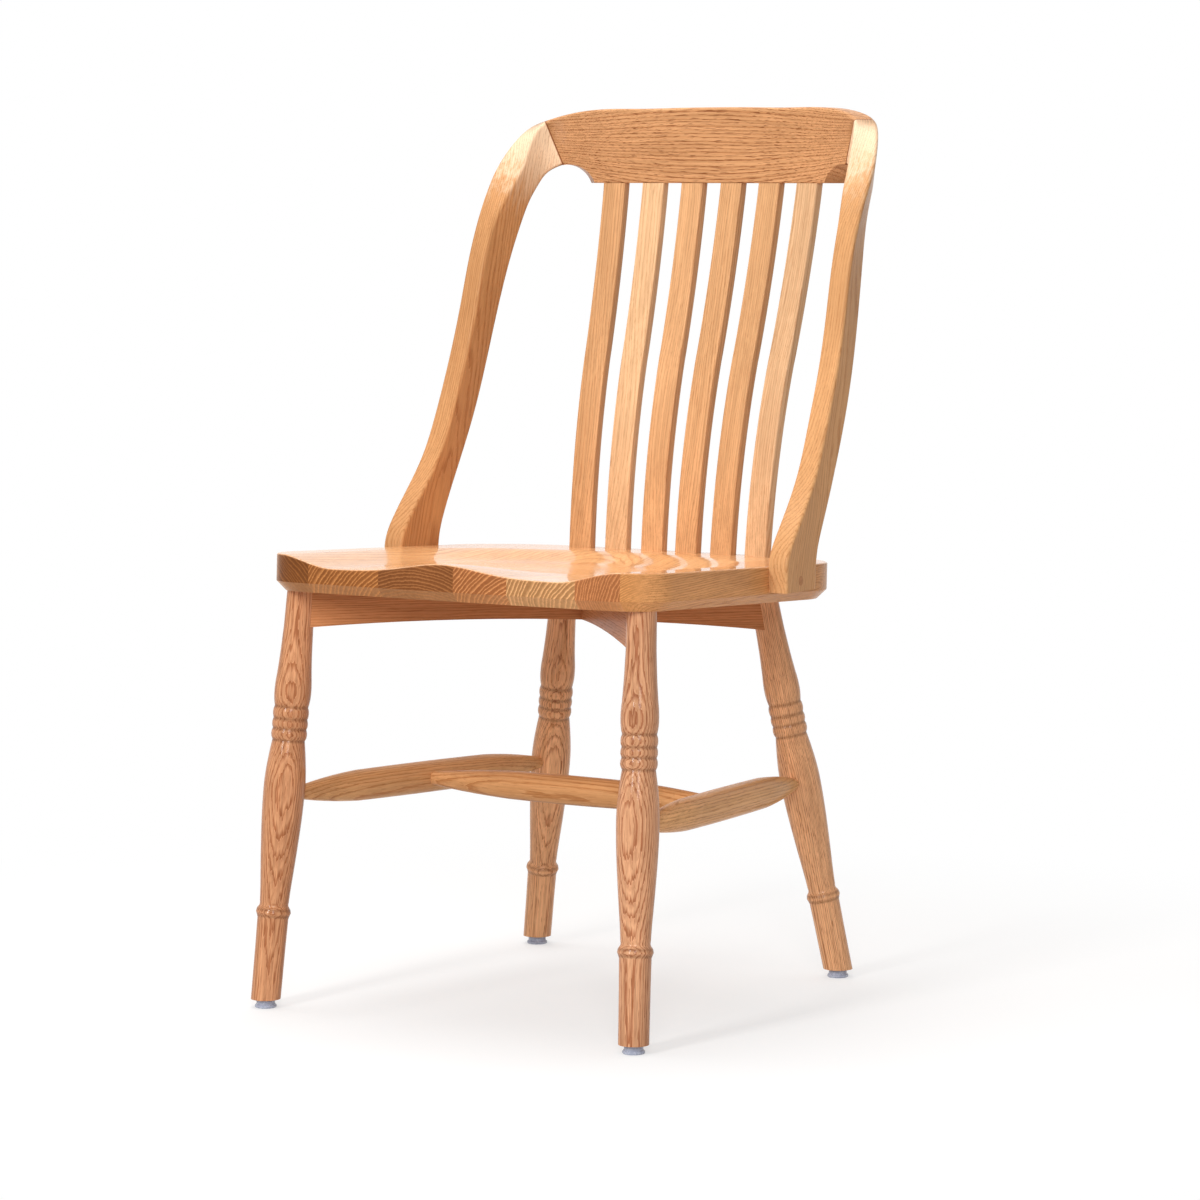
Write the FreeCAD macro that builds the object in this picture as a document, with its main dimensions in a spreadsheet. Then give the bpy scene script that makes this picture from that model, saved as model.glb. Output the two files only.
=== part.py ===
import FreeCAD, Part
import Sketcher
import math
import os

# A six-slat dining chair in oak. Millimetres, +Z up, the front towards -Y.
# The origin lies on the floor, in the middle of the space that the chair takes up.
# Heights of the back are counted from seat_height, so that the back rides on the seat.
# A cutter reaches BEYOND_ALL sideways, is WASTE_HIGH tall, and stands PROUD of what it cuts.
V = FreeCAD.Vector
UP = V(0, 0, 1)
RIGHTWARDS = V(1, 0, 0)
FLAT = FreeCAD.Rotation()
BEYOND_ALL = 700
WASTE_HIGH = 100
PROUD = 1
os.makedirs("parts", exist_ok=True)
doc = FreeCAD.newDocument("six_slat_chair")
sheet = doc.addObject("Spreadsheet::Sheet", "Sizes")
sizes_kept = []


def size(alias, number):
    """Keep one dimension in the sheet under its own alias, and give its value back."""
    sizes_kept.append(alias)
    row = len(sizes_kept)
    sheet.set("A%d" % row, alias)
    sheet.set("B%d" % row, "%.7g" % number)
    sheet.setAlias("B%d" % row, alias)
    return float("%.7g" % number)


# Seat
seat_height = size("seat_height", 449.6)
seat_centre_y = size("seat_centre_y", -29)
seat_tilt = size("seat_tilt", 2.43)
seat_thick = size("seat_thick", 37)
seat_bevel = size("seat_bevel", 9.5)
seat_edge_round = size("seat_edge_round", 2)
seat_front_y = size("seat_front_y", -234)
seat_front_bow = size("seat_front_bow", 3.8)
seat_front_half = size("seat_front_half", 226.5)
seat_rear_half = size("seat_rear_half", 220)
seat_rear_y = size("seat_rear_y", 222)
seat_front_corner = size("seat_front_corner", 56)
seat_rear_corner = size("seat_rear_corner", 108)

# Saddle of the seat
dish_depth = size("dish_depth", 12)
dish_half_width = size("dish_half_width", 200)
dish_wall = size("dish_wall", 70)
dish_lip = size("dish_lip", 0.25)
dish_middle_y = size("dish_middle_y", -20)
dish_rear_reach = size("dish_rear_reach", 165)
pommel_height = size("pommel_height", 10.8)
pommel_spread = size("pommel_spread", 58)
pommel_end_y = size("pommel_end_y", -60)

# Legs
foot_cut_height = size("foot_cut_height", 8.7)
front_foot_x = size("front_foot_x", 217.2)
front_foot_y = size("front_foot_y", -259.6)
front_lean_in = size("front_lean_in", 0.0417)
front_lean_back = size("front_lean_back", 0.098)
rear_foot_x = size("rear_foot_x", 187.4)
rear_foot_y = size("rear_foot_y", 201.6)
rear_lean_in = size("rear_lean_in", 0.1655)
rear_lean_forward = size("rear_lean_forward", 0.1245)
rear_leg_trim = size("rear_leg_trim", 8.9)
leg_tenon_radius = size("leg_tenon_radius", 9)
leg_tenon_length = size("leg_tenon_length", 17)
leg_spare_high = size("leg_spare_high", 33)
leg_spare_low = size("leg_spare_low", 4)

# Glides and their nails
glide_radius = size("glide_radius", 11)
glide_rim_height = size("glide_rim_height", 2.4)
glide_rim_ease = size("glide_rim_ease", 0.8)
glide_neck_radius = size("glide_neck_radius", 9.4)
nail_radius = size("nail_radius", 1.4)
nail_head_radius = size("nail_head_radius", 3.6)
nail_head_low = size("nail_head_low", 1)
nail_head_thick = size("nail_head_thick", 1.2)
nail_length = size("nail_length", 24)
nail_point_length = size("nail_point_length", 3)

# Crossed rails under the seat
rail_thick = size("rail_thick", 24)
rail_depth = size("rail_depth", 37.9)
rail_waist = size("rail_waist", 27.5)
rail_tenon_thick = size("rail_tenon_thick", 10)
rail_tenon_drop = size("rail_tenon_drop", 7)
rail_tenon_tall = size("rail_tenon_tall", 20)
rail_tenon_start = size("rail_tenon_start", 4)
rail_tenon_end = size("rail_tenon_end", 24)
rail_screw_front = size("rail_screw_front", 95)
rail_screw_rear = size("rail_screw_rear", 110)
rail_screw_length = size("rail_screw_length", 45)
rail_screw_radius = size("rail_screw_radius", 2)
rail_screw_head = size("rail_screw_head", 4.2)
rail_screw_head_tall = size("rail_screw_head_tall", 2.6)
rail_screw_sunk = size("rail_screw_sunk", 1)

# Stretchers
side_front_height = size("side_front_height", 214.4)
side_rear_height = size("side_rear_height", 206.3)
side_tenon_radius = size("side_tenon_radius", 6.3)
side_tenon_start = size("side_tenon_start", 8)
side_shoulder = size("side_shoulder", 21)
side_swell_at = size("side_swell_at", 110)
side_swell_radius = size("side_swell_radius", 15.9)
side_taper_curve = size("side_taper_curve", 720)
side_belly_curve = size("side_belly_curve", 10000)
middle_tenon_radius = size("middle_tenon_radius", 7)
middle_tenon_start = size("middle_tenon_start", 6)
middle_shoulder = size("middle_shoulder", 16)
middle_swell_at = size("middle_swell_at", 112)
middle_swell_radius = size("middle_swell_radius", 14.6)
middle_taper_curve = size("middle_taper_curve", 1150)
middle_belly_curve = size("middle_belly_curve", 4000)
socket_spare = size("socket_spare", 5)

# Slats
slat_width = size("slat_width", 26)
slat_thick = size("slat_thick", 12)
slat_edge_round = size("slat_edge_round", 1.2)
slat_root_up = size("slat_root_up", -4.6)
slat_root_depth = size("slat_root_depth", 19)
slat_knee_back = size("slat_knee_back", 41.7)
slat_knee_up = size("slat_knee_up", 210)
slat_tip_back = size("slat_tip_back", 86.2)
slat_root_lean = size("slat_root_lean", 4.6)
slat_knee_lean = size("slat_knee_lean", 17.7)
slat_tip_lean = size("slat_tip_lean", 11)
slat_tenon_width = size("slat_tenon_width", 19)
slat_tenon_thick = size("slat_tenon_thick", 7)
slat_tenon_length = size("slat_tenon_length", 16)

# Back posts and crest
band_thick = size("band_thick", 22.8)
post_edge_round = size("post_edge_round", 3)
crest_top_round = size("crest_top_round", 3.5)
crest_low_round = size("crest_low_round", 1.5)
crest_low_up = size("crest_low_up", 380.4)
arch_radius = size("arch_radius", 27.9)
arch_x = size("arch_x", 168.6)
arch_y = size("arch_y", 233)
arch_up = size("arch_up", 372.3)
arch_turn = size("arch_turn", 39.8)
dowel_radius = size("dowel_radius", 4)
dowel_length = size("dowel_length", 34)
dowel_spacing = size("dowel_spacing", 22)

# Screws through the posts into the seat, and the plugs over their heads
post_screw_y = size("post_screw_y", 18.4)
post_screw_up = size("post_screw_up", -16)
post_screw_radius = size("post_screw_radius", 3)
post_screw_head = size("post_screw_head", 5)
post_screw_head_tall = size("post_screw_head_tall", 4)
post_screw_length = size("post_screw_length", 48)
post_screw_seat_x = size("post_screw_seat_x", 236)


def origin_plane(body, role):
    for feature in body.Origin.OriginFeatures:
        if feature.Role == role:
            return feature


def arc_between(start, stop, radius):
    """Arc from start to stop that turns left on its way where the radius is positive."""
    chord = stop - start
    reach = math.sqrt(radius ** 2 - (chord.Length / 2) ** 2)
    left = V(-chord.y, chord.x, 0).normalize()
    centre = (start + stop) * 0.5 + left * math.copysign(reach, radius)
    first, last = (start, stop) if radius > 0 else (stop, start)
    angles = [math.atan2(point.y - centre.y, point.x - centre.x) for point in (first, last)]
    if angles[1] < angles[0]:
        angles[1] += 2 * math.pi
    return Part.ArcOfCircle(Part.Circle(centre, UP, abs(radius)), *angles)


def outline(body, name, role, corners):
    """Closed sketch through named corners: (label, across, up) or (label, across, up, radius).
    A radius makes an arc of the side that leaves the corner, positive where it turns left.
    Each place and each radius gets its cell in the sheet, and the sketch is bound to it."""
    sketch = body.newObject("Sketcher::SketchObject", name + "_outline")
    sketch.AttachmentSupport = (origin_plane(body, role), [""])
    sketch.MapMode = "FlatFace"
    sides = []
    for corner, following in zip(corners, corners[1:] + corners[:1]):
        start = V(corner[1], corner[2], 0)
        stop = V(following[1], following[2], 0)
        if len(corner) == 3:
            sides.append((sketch.addGeometry(Part.LineSegment(start, stop), False), 1, 2))
            continue
        number = sketch.addGeometry(arc_between(start, stop, corner[3]), False)
        sides.append((number, 1, 2) if corner[3] > 0 else (number, 2, 1))
    constraints = []
    for side, following in zip(sides, sides[1:] + sides[:1]):
        constraints.append(Sketcher.Constraint("Coincident", side[0], side[2], following[0], following[1]))
    bindings = []
    for side, corner in zip(sides, corners):
        for kind, word, place in (("DistanceX", "across", corner[1]), ("DistanceY", "up", corner[2])):
            alias = "%s_%s_%s" % (name, corner[0], word)
            bindings.append((len(constraints), alias))
            constraints.append(Sketcher.Constraint(kind, -1, 1, side[0], side[1], size(alias, place)))
        if len(corner) == 4:
            alias = "%s_%s_radius" % (name, corner[0])
            bindings.append((len(constraints), alias))
            constraints.append(Sketcher.Constraint("Radius", side[0], size(alias, abs(corner[3]))))
    sketch.addConstraint(constraints)
    sheet.recompute()
    for number, alias in bindings:
        sketch.setExpression("Constraints[%d]" % number, "Sizes." + alias)
    sketch.Visibility = False
    sketch.recompute()
    return sketch


def turned(name, corners):
    """A turned piece: its outline on the XZ plane goes once round the Z axis."""
    body = doc.addObject("PartDesign::Body", name + "_body")
    sketch = outline(body, name, "XZ_Plane", corners)
    turning = body.newObject("PartDesign::Revolution", name + "_turning")
    turning.Profile = sketch
    turning.ReferenceAxis = (sketch, ["V_Axis"])
    turning.Angle = 360
    return body


def sawn(name, role, corners, thickness):
    """A piece sawn from a board, with half the thickness on each side of its plane."""
    body = doc.addObject("PartDesign::Body", name + "_body")
    sketch = outline(body, name, role, corners)
    board = body.newObject("PartDesign::Pad", name + "_board")
    board.Profile = sketch
    board.setExpression("Length", "Sizes." + thickness)
    board.SideType = "Symmetric"
    board.recompute()
    return body, board


def along(start, direction):
    """Placement that sets a piece's origin on a point and its Z axis along a direction."""
    return FreeCAD.Placement(start, FreeCAD.Rotation(UP, direction))


def block(name, length, width, height, placement):
    piece = doc.addObject("Part::Box", name)
    piece.Length = length
    piece.Width = width
    piece.Height = height
    piece.Placement = placement
    return piece


def rod(name, radius, length, placement):
    """A round bar; its radius is the alias of a cell."""
    piece = doc.addObject("Part::Cylinder", name)
    piece.setExpression("Radius", "Sizes." + radius)
    piece.Height = length
    piece.Placement = placement
    return piece


def fused(name, shapes):
    piece = doc.addObject("Part::MultiFuse", name)
    piece.Shapes = shapes
    return piece


def grouped(name, shapes):
    piece = doc.addObject("Part::Compound", name)
    piece.Links = shapes
    return piece


def cut(name, base, tool):
    piece = doc.addObject("Part::Cut", name)
    piece.Base = base
    piece.Tool = tool
    return piece


def overlap(name, first, second):
    piece = doc.addObject("Part::Common", name)
    piece.Base = first
    piece.Tool = second
    return piece


def mirrored(name, source):
    """The same piece on the other side of the chair."""
    piece = doc.addObject("Part::Mirroring", name)
    piece.Source = source
    piece.Base = V(0, 0, 0)
    piece.Normal = RIGHTWARDS
    return piece


def shaped(name, shape):
    """A piece whose shape is worked out from the sheet with the kernel's own functions."""
    piece = doc.addObject("Part::Feature", name)
    piece.Shape = shape
    return piece


finished = []


def finish(label, piece, solids=1):
    piece.Label = label
    finished.append((label, piece, solids))


def finish_pair(label, piece):
    """A piece of the right side and its image on the left."""
    finish(label + "_right", piece)
    finish(label + "_left", mirrored(label + "_image", piece))


# Seat blank
# A shield in plan: a front edge that bows forward a little, rounded front corners, nearly
# parallel sides and a back edge with large round corners. Its top drops towards the back.
seat_frame = FreeCAD.Placement(V(0, seat_centre_y, seat_height), FreeCAD.Rotation(RIGHTWARDS, -seat_tilt))
seat_under = -seat_thick


def in_seat(point):
    """A place in the room, given in the frame of the seat's top."""
    return seat_frame.inverse().multVec(point)


front_centre = V(seat_front_half - seat_front_corner, seat_front_y + seat_front_corner, 0)
rear_centre = V(seat_rear_half - seat_rear_corner, seat_rear_y - seat_rear_corner, 0)
# The straight side touches both corner circles
between_centres = front_centre - rear_centre
side_angle = math.acos((seat_rear_corner - seat_front_corner) / between_centres.Length)
side_angle += math.atan2(between_centres.y, between_centres.x)
side_normal = V(math.cos(side_angle), math.sin(side_angle), 0)
side_front = front_centre + side_normal * seat_front_corner
side_rear = rear_centre + side_normal * seat_rear_corner
# The bow of the front edge runs into the corner circles without a kink
bow_apex = seat_front_y - seat_front_bow
corner_gain = front_centre.Length ** 2 - front_centre.y ** 2 + (front_centre.y - bow_apex) ** 2
bow_radius = (corner_gain - seat_front_corner ** 2) / (2 * seat_front_bow)
bow_centre = V(0, bow_apex + bow_radius, 0)
bow_end = front_centre + (front_centre - bow_centre).normalize() * seat_front_corner
seat_body = doc.addObject("PartDesign::Body", "seat_body")
seat_sketch = outline(seat_body, "seat", "XY_Plane", (
    ("front_left", -bow_end.x, bow_end.y, bow_radius),
    ("front_right", bow_end.x, bow_end.y, seat_front_corner),
    ("side_front_right", side_front.x, side_front.y),
    ("side_rear_right", side_rear.x, side_rear.y, seat_rear_corner),
    ("rear_right", rear_centre.x, seat_rear_y),
    ("rear_left", -rear_centre.x, seat_rear_y, seat_rear_corner),
    ("side_rear_left", -side_rear.x, side_rear.y),
    ("side_front_left", -side_front.x, side_front.y, seat_front_corner),
))
seat_board = seat_body.newObject("PartDesign::Pad", "seat_board")
seat_board.Profile = seat_sketch
seat_board.setExpression("Length", "Sizes.seat_thick")
seat_board.Reversed = True
seat_board.recompute()
board_faces = seat_board.Shape.Faces
lowest_face = min(range(len(board_faces)), key=lambda k: board_faces[k].CenterOfMass.z)
seat_bevelled = seat_body.newObject("PartDesign::Chamfer", "seat_bevelled")
seat_bevelled.Base = (seat_board, ["Face%d" % (lowest_face + 1)])
seat_bevelled.setExpression("Size", "Sizes.seat_bevel")
seat_bevelled.recompute()
seat_body.recompute()


# Saddle
# The sitter's hollow runs out through the front edge as two troughs with a raised pommel
# between them, and closes behind in half an ellipse.
def smooth_step(part):
    part = min(1.0, max(0.0, part))
    return part * part * (3 - 2 * part)


def hollow(x, y):
    """Depth of the saddle below the top of the seat."""
    behind = max(0.0, y - dish_middle_y) / dish_rear_reach
    edge = math.hypot(x / dish_half_width, behind)
    wall = smooth_step((1 - edge) * dish_half_width / dish_wall)
    forward = smooth_step((pommel_end_y - y) / (pommel_end_y - seat_front_y))
    ridge = pommel_height * forward * math.exp(-(x / pommel_spread) ** 2)
    return wall * (dish_depth - ridge) - dish_lip


saddle_step = 14.0
rim_nearness = 0.05
across_steps = math.ceil(seat_front_half / saddle_step) + 1
back_steps = math.ceil(-seat_front_y / saddle_step) + 1
saddle_grid = []
for row in range(-back_steps, back_steps + 1):
    y = row * saddle_step
    columns = [column * saddle_step for column in range(-across_steps, across_steps + 1)]
    saddle_grid.append([V(x, y, -hollow(x, y)) for x in columns])
saddle = Part.BSplineSurface()
saddle.interpolate(saddle_grid)
saddle_tool = shaped("saddle_tool", saddle.toShape().extrude(V(0, 0, seat_thick)))
saddled = cut("seat_saddled", seat_body, saddle_tool)
saddled.recompute()


def on_top_rim(edge):
    """True for an edge that runs round the outside of the seat's top."""
    middle = edge.valueAt((edge.FirstParameter + edge.LastParameter) / 2)
    level = seat_board.Shape.BoundBox.ZMax - seat_thick / 2
    touching = seat_board.Shape.Shells[0].distToShape(Part.Vertex(V(middle.x, middle.y, level)))[0]
    above_bevel = middle.z > seat_bevel - seat_thick + PROUD
    return touching < rim_nearness and above_bevel and edge.BoundBox.ZLength < dish_depth + PROUD


rim_edges = [number + 1 for number, edge in enumerate(saddled.Shape.Edges) if on_top_rim(edge)]
seat_eased = doc.addObject("Part::Fillet", "seat_eased")
seat_eased.Base = saddled
seat_eased.Edges = [(number, seat_edge_round, seat_edge_round) for number in rim_edges]
seat_eased.Placement = seat_frame
seat_eased.recompute()

# Legs
# All four are turned to one pattern: an ankle with a ring, a long belly, three beads and a
# small vase under the seat. The rear ones are the same turning cut shorter at the foot.
leg_blank_top = seat_height - seat_thick - foot_cut_height + leg_spare_high
LEG = (
    ("toe_axis", 0, -leg_spare_low),
    ("toe", 15.0, -leg_spare_low),
    ("shank", 15.3, 53),
    ("ankle", 15.7, 82),
    ("ring_low", 16.4, 84.3, 6.4),
    ("ring_high", 17.0, 91),
    ("neck_low", 14.7, 94.4, -8),
    ("neck_high", 14.7, 98.8, -680),
    ("calf", 16.5, 126, 2300),
    ("belly_low", 19.4, 167, 770),
    ("belly", 21.0, 209.5, 235),
    ("belly_high", 19.6, 237.7, 490),
    ("bead_one", 16.4, 262, 12.2),
    ("bead_two", 17.0, 273.5, 12.8),
    ("bead_three", 17.1, 283.9, 15.6),
    ("vase_foot", 16.9, 295.9, 62),
    ("vase", 18.6, 311.6, 122),
    ("vase_shoulder", 17.65, 326.8, -755),
    ("vase_neck", 15.7, 357),
    ("upper", 14.9, 376),
    ("head", 14.4, leg_blank_top),
    ("head_axis", 0, leg_blank_top),
)
front_foot = V(front_foot_x, front_foot_y, foot_cut_height)
front_way = V(-front_lean_in, front_lean_back, 1)
rear_foot = V(rear_foot_x, rear_foot_y, foot_cut_height)
rear_way = V(-rear_lean_in, -rear_lean_forward, 1)
front_turning = turned("front_leg", LEG)
front_turning.Placement = along(front_foot, front_way)
rear_turning = turned("rear_leg", LEG)
rear_turning.Placement = along(rear_foot - V(rear_way).normalize() * rear_leg_trim, rear_way)
front_turning_left = mirrored("front_turning_left", front_turning)


def leg_at_height(foot, way, height):
    """The point of a leg's axis at a height above the floor."""
    return foot + way * (height - foot_cut_height)


def leg_at_seat(foot, way):
    """The point of a leg's axis in the underside of the seat, in the seat's own frame."""
    low = in_seat(foot)
    high = in_seat(foot + way)
    return low + (high - low) * ((seat_under - low.z) / (high.z - low.z))


# Crossed rails
# Two arched rails run from leg to leg under the seat and halve over each other. Their ends
# are scribed to the legs and carry flat tenons.
front_head = leg_at_seat(front_foot, front_way)
rear_head = leg_at_seat(rear_foot, rear_way)
rail_run = V(rear_head.x + front_head.x, rear_head.y - front_head.y, 0)
rail_span = rail_run.Length
rail_rise = rail_depth - rail_waist
rail_radius = (rail_span ** 2 / 4 + rail_rise ** 2) / (2 * rail_rise)
rail_start = V(-front_head.x, front_head.y, seat_under)
rail_frame = seat_frame.multiply(FreeCAD.Placement(rail_start, FreeCAD.Rotation(RIGHTWARDS, rail_run)))
rail_body, rail_board = sawn("rail", "XZ_Plane", (
    ("start_low", 0, -rail_depth, -rail_radius),
    ("end_low", rail_span, -rail_depth),
    ("end_high", rail_span, 0),
    ("start_high", 0, 0),
), "rail_thick")
rail_body.Placement = rail_frame


def rail_block(name, start, length, thickness, high, low):
    """A block in the line of the rail, between two heights counted from its top."""
    corner = FreeCAD.Placement(V(start, -thickness / 2, low), FLAT)
    return block(name, length, thickness, high - low, rail_frame.multiply(corner))


tenon_reach = rail_tenon_end - rail_tenon_start
tenon_low = -rail_tenon_drop - rail_tenon_tall
rail_tenon_front = rail_block(
    "rail_tenon_front", rail_tenon_start, tenon_reach, rail_tenon_thick, -rail_tenon_drop, tenon_low,
)
rail_tenon_rear = rail_block(
    "rail_tenon_rear", rail_span - rail_tenon_end, tenon_reach, rail_tenon_thick, -rail_tenon_drop, tenon_low,
)
rail_scribed = cut("rail_scribed", rail_body, grouped("rail_legs", [front_turning_left, rear_turning]))
rail_plain = fused("rail_plain", [rail_scribed, rail_tenon_front, rail_tenon_rear])
rail_plain_image = mirrored("rail_plain_image", rail_plain)
half_depth = -rail_waist / 2
upper_half = rail_block("rail_upper_half", 0, rail_span, rail_thick, PROUD, half_depth)
lower_half = rail_block("rail_lower_half", 0, rail_span, rail_thick, half_depth, -rail_depth)
rail_halved = cut("rail_halved", rail_plain, mirrored("rail_upper_half_image", upper_half))
rail_image_halved = cut("rail_image_halved", rail_plain_image, lower_half)


def countersunk(name, length, shank, head, head_tall, placement):
    """A countersunk wood screw that points along its Z axis."""
    screw = turned(name, (
        ("head_axis", 0, 0),
        ("head_rim", head, 0),
        ("head_neck", shank, head_tall),
        ("shank_end", shank, length - 2 * shank),
        ("point", 0, length),
    ))
    screw.Placement = placement
    return screw


# Screws that hold the rails up to the seat, two in each rail
rail_screws = []
for place, distance in (("front", rail_screw_front), ("rear", rail_span - rail_screw_rear)):
    off_middle = distance - rail_span / 2
    rail_low = -rail_waist - rail_radius + math.sqrt(rail_radius ** 2 - off_middle ** 2)
    sunk = rail_frame.multiply(FreeCAD.Placement(V(distance, 0, rail_low + rail_screw_sunk), FLAT))
    rail_screws.append(countersunk("rail_screw_" + place, rail_screw_length, rail_screw_radius,
                                   rail_screw_head, rail_screw_head_tall, sunk))
rail_screw_pair = grouped("rail_screw_pair", rail_screws)
rail_screw_pair_image = mirrored("rail_screw_pair_image", rail_screw_pair)

# Side stretchers
# Long tapered spindles that swell in the middle, from front leg to rear leg.
side_from = leg_at_height(front_foot, front_way, side_front_height)
side_to = leg_at_height(rear_foot, rear_way, side_rear_height)
side_way = side_to - side_from
side_span = side_way.Length
side_turning = turned("side_stretcher", (
    ("start_axis", 0, side_tenon_start),
    ("start", side_tenon_radius, side_tenon_start),
    ("start_shoulder", side_tenon_radius, side_shoulder, side_taper_curve),
    ("start_swell", side_swell_radius, side_swell_at, side_belly_curve),
    ("end_swell", side_swell_radius, side_span - side_swell_at, side_taper_curve),
    ("end_shoulder", side_tenon_radius, side_span - side_shoulder),
    ("end", side_tenon_radius, side_span - side_tenon_start),
    ("end_axis", 0, side_span - side_tenon_start),
))
side_turning.Placement = along(side_from, side_way)

# Middle stretcher
# A shorter spindle of the same kind between the side stretchers.
middle_to = (side_from + side_to) * 0.5
middle_from = V(-middle_to.x, middle_to.y, middle_to.z)
middle_span = middle_to.x - middle_from.x
middle_turning = turned("middle_stretcher", (
    ("start_axis", 0, middle_tenon_start),
    ("start", middle_tenon_radius, middle_tenon_start),
    ("start_shoulder", middle_tenon_radius, middle_shoulder, middle_taper_curve),
    ("start_swell", middle_swell_radius, middle_swell_at, middle_belly_curve),
    ("end_swell", middle_swell_radius, middle_span - middle_swell_at, middle_taper_curve),
    ("end_shoulder", middle_tenon_radius, middle_span - middle_shoulder),
    ("end", middle_tenon_radius, middle_span - middle_tenon_start),
    ("end_axis", 0, middle_span - middle_tenon_start),
))
middle_turning.Placement = along(middle_from, RIGHTWARDS)
middle_socket_at = along(middle_to - V(middle_tenon_start, 0, 0), -RIGHTWARDS)
middle_socket = rod("middle_socket", "middle_tenon_radius", 2 * side_swell_radius, middle_socket_at)
side_bored = cut("side_stretcher_bored", side_turning, middle_socket)

# Glides
# A plastic or steel button under each foot, held by a nail up the middle of the leg.
nail_head_high = nail_head_low + nail_head_thick
glide_profile = (
    ("recess", nail_head_radius, 0),
    ("rim_low", glide_radius - glide_rim_ease, 0),
    ("rim", glide_radius, glide_rim_ease),
    ("rim_high", glide_radius, glide_rim_height),
    ("neck_low", glide_neck_radius, glide_rim_height + glide_radius - glide_neck_radius),
    ("neck_high", glide_neck_radius, foot_cut_height),
    ("bore_high", nail_radius, foot_cut_height),
    ("bore_low", nail_radius, nail_head_high),
    ("seat_of_head", nail_head_radius, nail_head_high),
)
nail_profile = (
    ("axis_low", 0, nail_head_low),
    ("head_low", nail_head_radius, nail_head_low),
    ("head_high", nail_head_radius, nail_head_high),
    ("shank_low", nail_radius, nail_head_high),
    ("shank_high", nail_radius, nail_head_low + nail_length - nail_point_length),
    ("point", 0, nail_head_low + nail_length),
)
glides = {}
nails = {}
for place, foot in (("front", front_foot), ("rear", rear_foot)):
    glides[place] = turned("glide_" + place, glide_profile)
    nails[place] = turned("nail_" + place, nail_profile)
    for piece in (glides[place], nails[place]):
        piece.Placement = FreeCAD.Placement(V(foot.x, foot.y, 0), FLAT)
nail_pair = grouped("nail_pair", [nails["front"], nails["rear"]])

# Finished legs
# The foot is sawn level and the head to the underside of the seat, with a round tenon above
# it. Each leg has sockets for a rail, for its side stretcher and for the nail of its glide.
above_legs = block("above_legs", 2 * BEYOND_ALL, 2 * BEYOND_ALL, WASTE_HIGH,
                   seat_frame.multiply(FreeCAD.Placement(V(-BEYOND_ALL, -BEYOND_ALL, seat_under), FLAT)))
below_legs = block("below_legs", 2 * BEYOND_ALL, 2 * BEYOND_ALL, WASTE_HIGH,
                   FreeCAD.Placement(V(-BEYOND_ALL, -BEYOND_ALL, foot_cut_height - WASTE_HIGH), FLAT))
leg_waste = grouped("leg_waste", [above_legs, below_legs])
rail_tenon_front_image = mirrored("rail_tenon_front_image", rail_tenon_front)
legs = {}
leg_tenons = []
for place, way, turning, head, rail_tenon, socket_from, socket_way in (
    ("front", front_way, front_turning, front_head, rail_tenon_front_image, side_from, side_way),
    ("rear", rear_way, rear_turning, rear_head, rail_tenon_rear, side_to, -side_way),
):
    upwards = V(way).normalize()
    embedded = 2 * leg_tenon_radius
    tenon_at = along(seat_frame.multVec(head) - upwards * embedded, way)
    tenon = rod("leg_tenon_" + place, "leg_tenon_radius", embedded + leg_tenon_length, tenon_at)
    leg_tenons.append(tenon)
    socket_at = along(socket_from + V(socket_way).normalize() * side_tenon_start, socket_way)
    socket = rod("side_socket_" + place, "side_tenon_radius", side_shoulder + socket_spare, socket_at)
    trimmed = cut("leg_%s_trimmed" % place, turning, leg_waste)
    tenoned = fused("leg_%s_tenoned" % place, [trimmed, tenon])
    sockets = grouped("leg_%s_sockets" % place, [rail_tenon, socket, nails[place]])
    legs[place] = cut("leg_%s_bored" % place, tenoned, sockets)
leg_tenons_right = grouped("leg_tenons_right", leg_tenons)
leg_tenons_left = mirrored("leg_tenons_left", leg_tenons_right)

# Slats
# Each slat is sawn to a lazy S in side view. The three pairs splay apart towards the top and
# turn to follow the curve of the crest. The lower end is let into the seat at full size, and
# the upper end has a tenon behind its shoulder.
slat_tip_up = crest_low_up - slat_root_up


def forward_face(across, up, lean, distance):
    """A place further along a slat's front face, in the direction in which it leans."""
    angle = math.radians(lean)
    return across + distance * math.sin(angle), up + distance * math.cos(angle)


def rear_face(across, up, lean):
    angle = math.radians(lean)
    return across + slat_thick * math.cos(angle), up - slat_thick * math.sin(angle)


def bend_radius(start, stop, turn):
    """Radius of the arc between two places whose directions differ by a turn."""
    chord = math.hypot(stop[0] - start[0], stop[1] - start[1])
    return chord / (2 * math.sin(math.radians(turn / 2)))


root = (0.0, 0.0)
knee = (slat_knee_back, slat_knee_up)
tip = (slat_tip_back, slat_tip_up)
heel = forward_face(*root, slat_root_lean, -slat_root_depth)
cap = forward_face(*tip, slat_tip_lean, slat_thick / 2)
lower_bend = bend_radius(root, knee, slat_knee_lean - slat_root_lean)
upper_bend = bend_radius(knee, tip, slat_knee_lean - slat_tip_lean)
SLAT = (
    ("heel", *heel),
    ("root", *root, -lower_bend),
    ("knee", *knee, upper_bend),
    ("tip", *tip),
    ("cap", *cap),
    ("cap_rear", *rear_face(*cap, slat_tip_lean)),
    ("tip_rear", *rear_face(*tip, slat_tip_lean), -upper_bend - slat_thick),
    ("knee_rear", *rear_face(*knee, slat_knee_lean), lower_bend - slat_thick),
    ("root_rear", *rear_face(*root, slat_root_lean)),
    ("heel_rear", *rear_face(*heel, slat_root_lean)),
)
above_slats = block("above_slats", BEYOND_ALL, BEYOND_ALL, WASTE_HIGH,
                    FreeCAD.Placement(V(-BEYOND_ALL / 2, 0, seat_height + crest_low_up), FLAT))
slat_blanks = []
slat_tenons = []
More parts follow.
